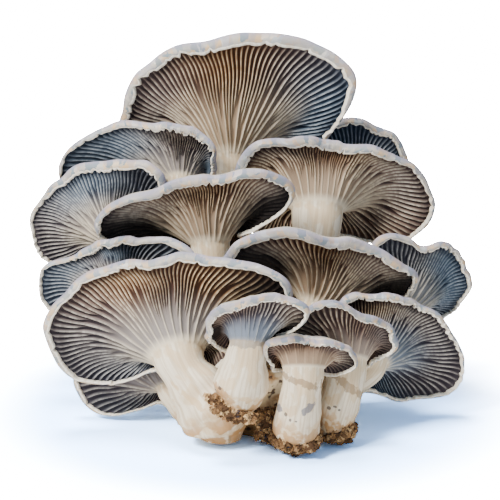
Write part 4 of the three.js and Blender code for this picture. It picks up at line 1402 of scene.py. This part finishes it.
def make_floor():
    mesh = bpy.data.meshes.new("floor")
    mesh.from_pydata([(x * FLOOR_HALF, y * FLOOR_HALF, 0) for x, y in CORNERS], [], [(0, 1, 2, 3)])
    floor = bpy.data.objects.new("floor", mesh)
    bpy.context.scene.collection.objects.link(floor)
    material, tree, shader = new_material("floor white", 0.9)
    seen = tree.nodes.new("ShaderNodeLightPath").outputs["Is Camera Ray"]
    away = length(tree, object_place(tree))
    # Painted shadow pool: the floor looks darker and bluer to the camera near the cluster.
    gain = blend(tree, ramp(tree, away, *GAIN_TURNS), SHADOW_POOL_GAIN, FAR_GAIN)
    bright = add_node(tree, "ShaderNodeBsdfDiffuse", {"Color": gain})
    shader.inputs["Base Color"].default_value = (0.8, 0.8, 0.8, 1)
    mixed = add_node(tree, "ShaderNodeMixShader", {0: seen, 1: shader.outputs[0], 2: bright.outputs[0]})
    tree.links.new(mixed.outputs[0], tree.nodes["Material Output"].inputs["Surface"])
    mesh.materials.append(material)


make_floor()
print("the floor is", 2 * FLOOR_HALF, "m across")

# %% The lights
AIM = Vector((0, 0, 0.08))
LIGHTS = (
    ("key", (-0.65, -0.7, 0.85), 0.32, 27, (1.0, 0.94, 0.85)),
    ("sky", (-0.15, -0.05, 1.2), 0.4, 20, (1.0, 0.98, 0.95)),
    ("fill", (0.7, -0.9, 0.25), 0.9, 1.5, (0.85, 0.93, 1.0)),
)
ROOM_COLOUR = (0.62, 0.8, 1.0, 1)
ROOM_LIGHT = 0.3
ROOM_SEEN = 8.0


def add_light(name, place, size, power, colour):
    """A square light at a place in metres, with its power in watts, aimed at the cluster."""
    light = bpy.data.lights.new(name, "AREA")
    light.size = size
    light.energy = power
    light.color = colour
    lamp = bpy.data.objects.new(name, light)
    lamp.location = place
    lamp.rotation_euler = (AIM - Vector(place)).to_track_quat("-Z", "Y").to_euler()
    bpy.context.scene.collection.objects.link(lamp)


def make_room():
    """The room's light, and how bright its air looks to the camera."""
    world = bpy.data.worlds.new("soft room")
    world.use_nodes = True
    tree = world.node_tree
    seen = tree.nodes.new("ShaderNodeLightPath").outputs["Is Camera Ray"]
    background = tree.nodes["Background"]
    background.inputs["Color"].default_value = ROOM_COLOUR
    strength = ramp(tree, seen, 0.0, 1.0, ROOM_LIGHT, ROOM_SEEN)
    tree.links.new(strength, background.inputs["Strength"])
    bpy.context.scene.world = world


for light in LIGHTS:
    add_light(*light)
make_room()

# %% The camera
CAMERA_TILT = math.radians(15)
CAMERA_AWAY = 1.0
CAMERA_TARGET = Vector((0, -0.004, 0.0774))
VIEW_WIDTH = 0.22725
SENSOR = 36


def make_camera():
    camera = bpy.data.cameras.new("camera")
    camera.sensor_width = SENSOR
    camera.lens = SENSOR * CAMERA_AWAY / VIEW_WIDTH
    viewer = bpy.data.objects.new("camera", camera)
    away = Vector((0, -math.cos(CAMERA_TILT), math.sin(CAMERA_TILT)))
    viewer.location = CAMERA_TARGET + away * CAMERA_AWAY
    viewer.rotation_euler = (-away).to_track_quat("-Z", "Y").to_euler()
    bpy.context.scene.collection.objects.link(viewer)
    bpy.context.scene.camera = viewer


make_camera()
print("the picture is", VIEW_WIDTH, "m wide at the cluster")
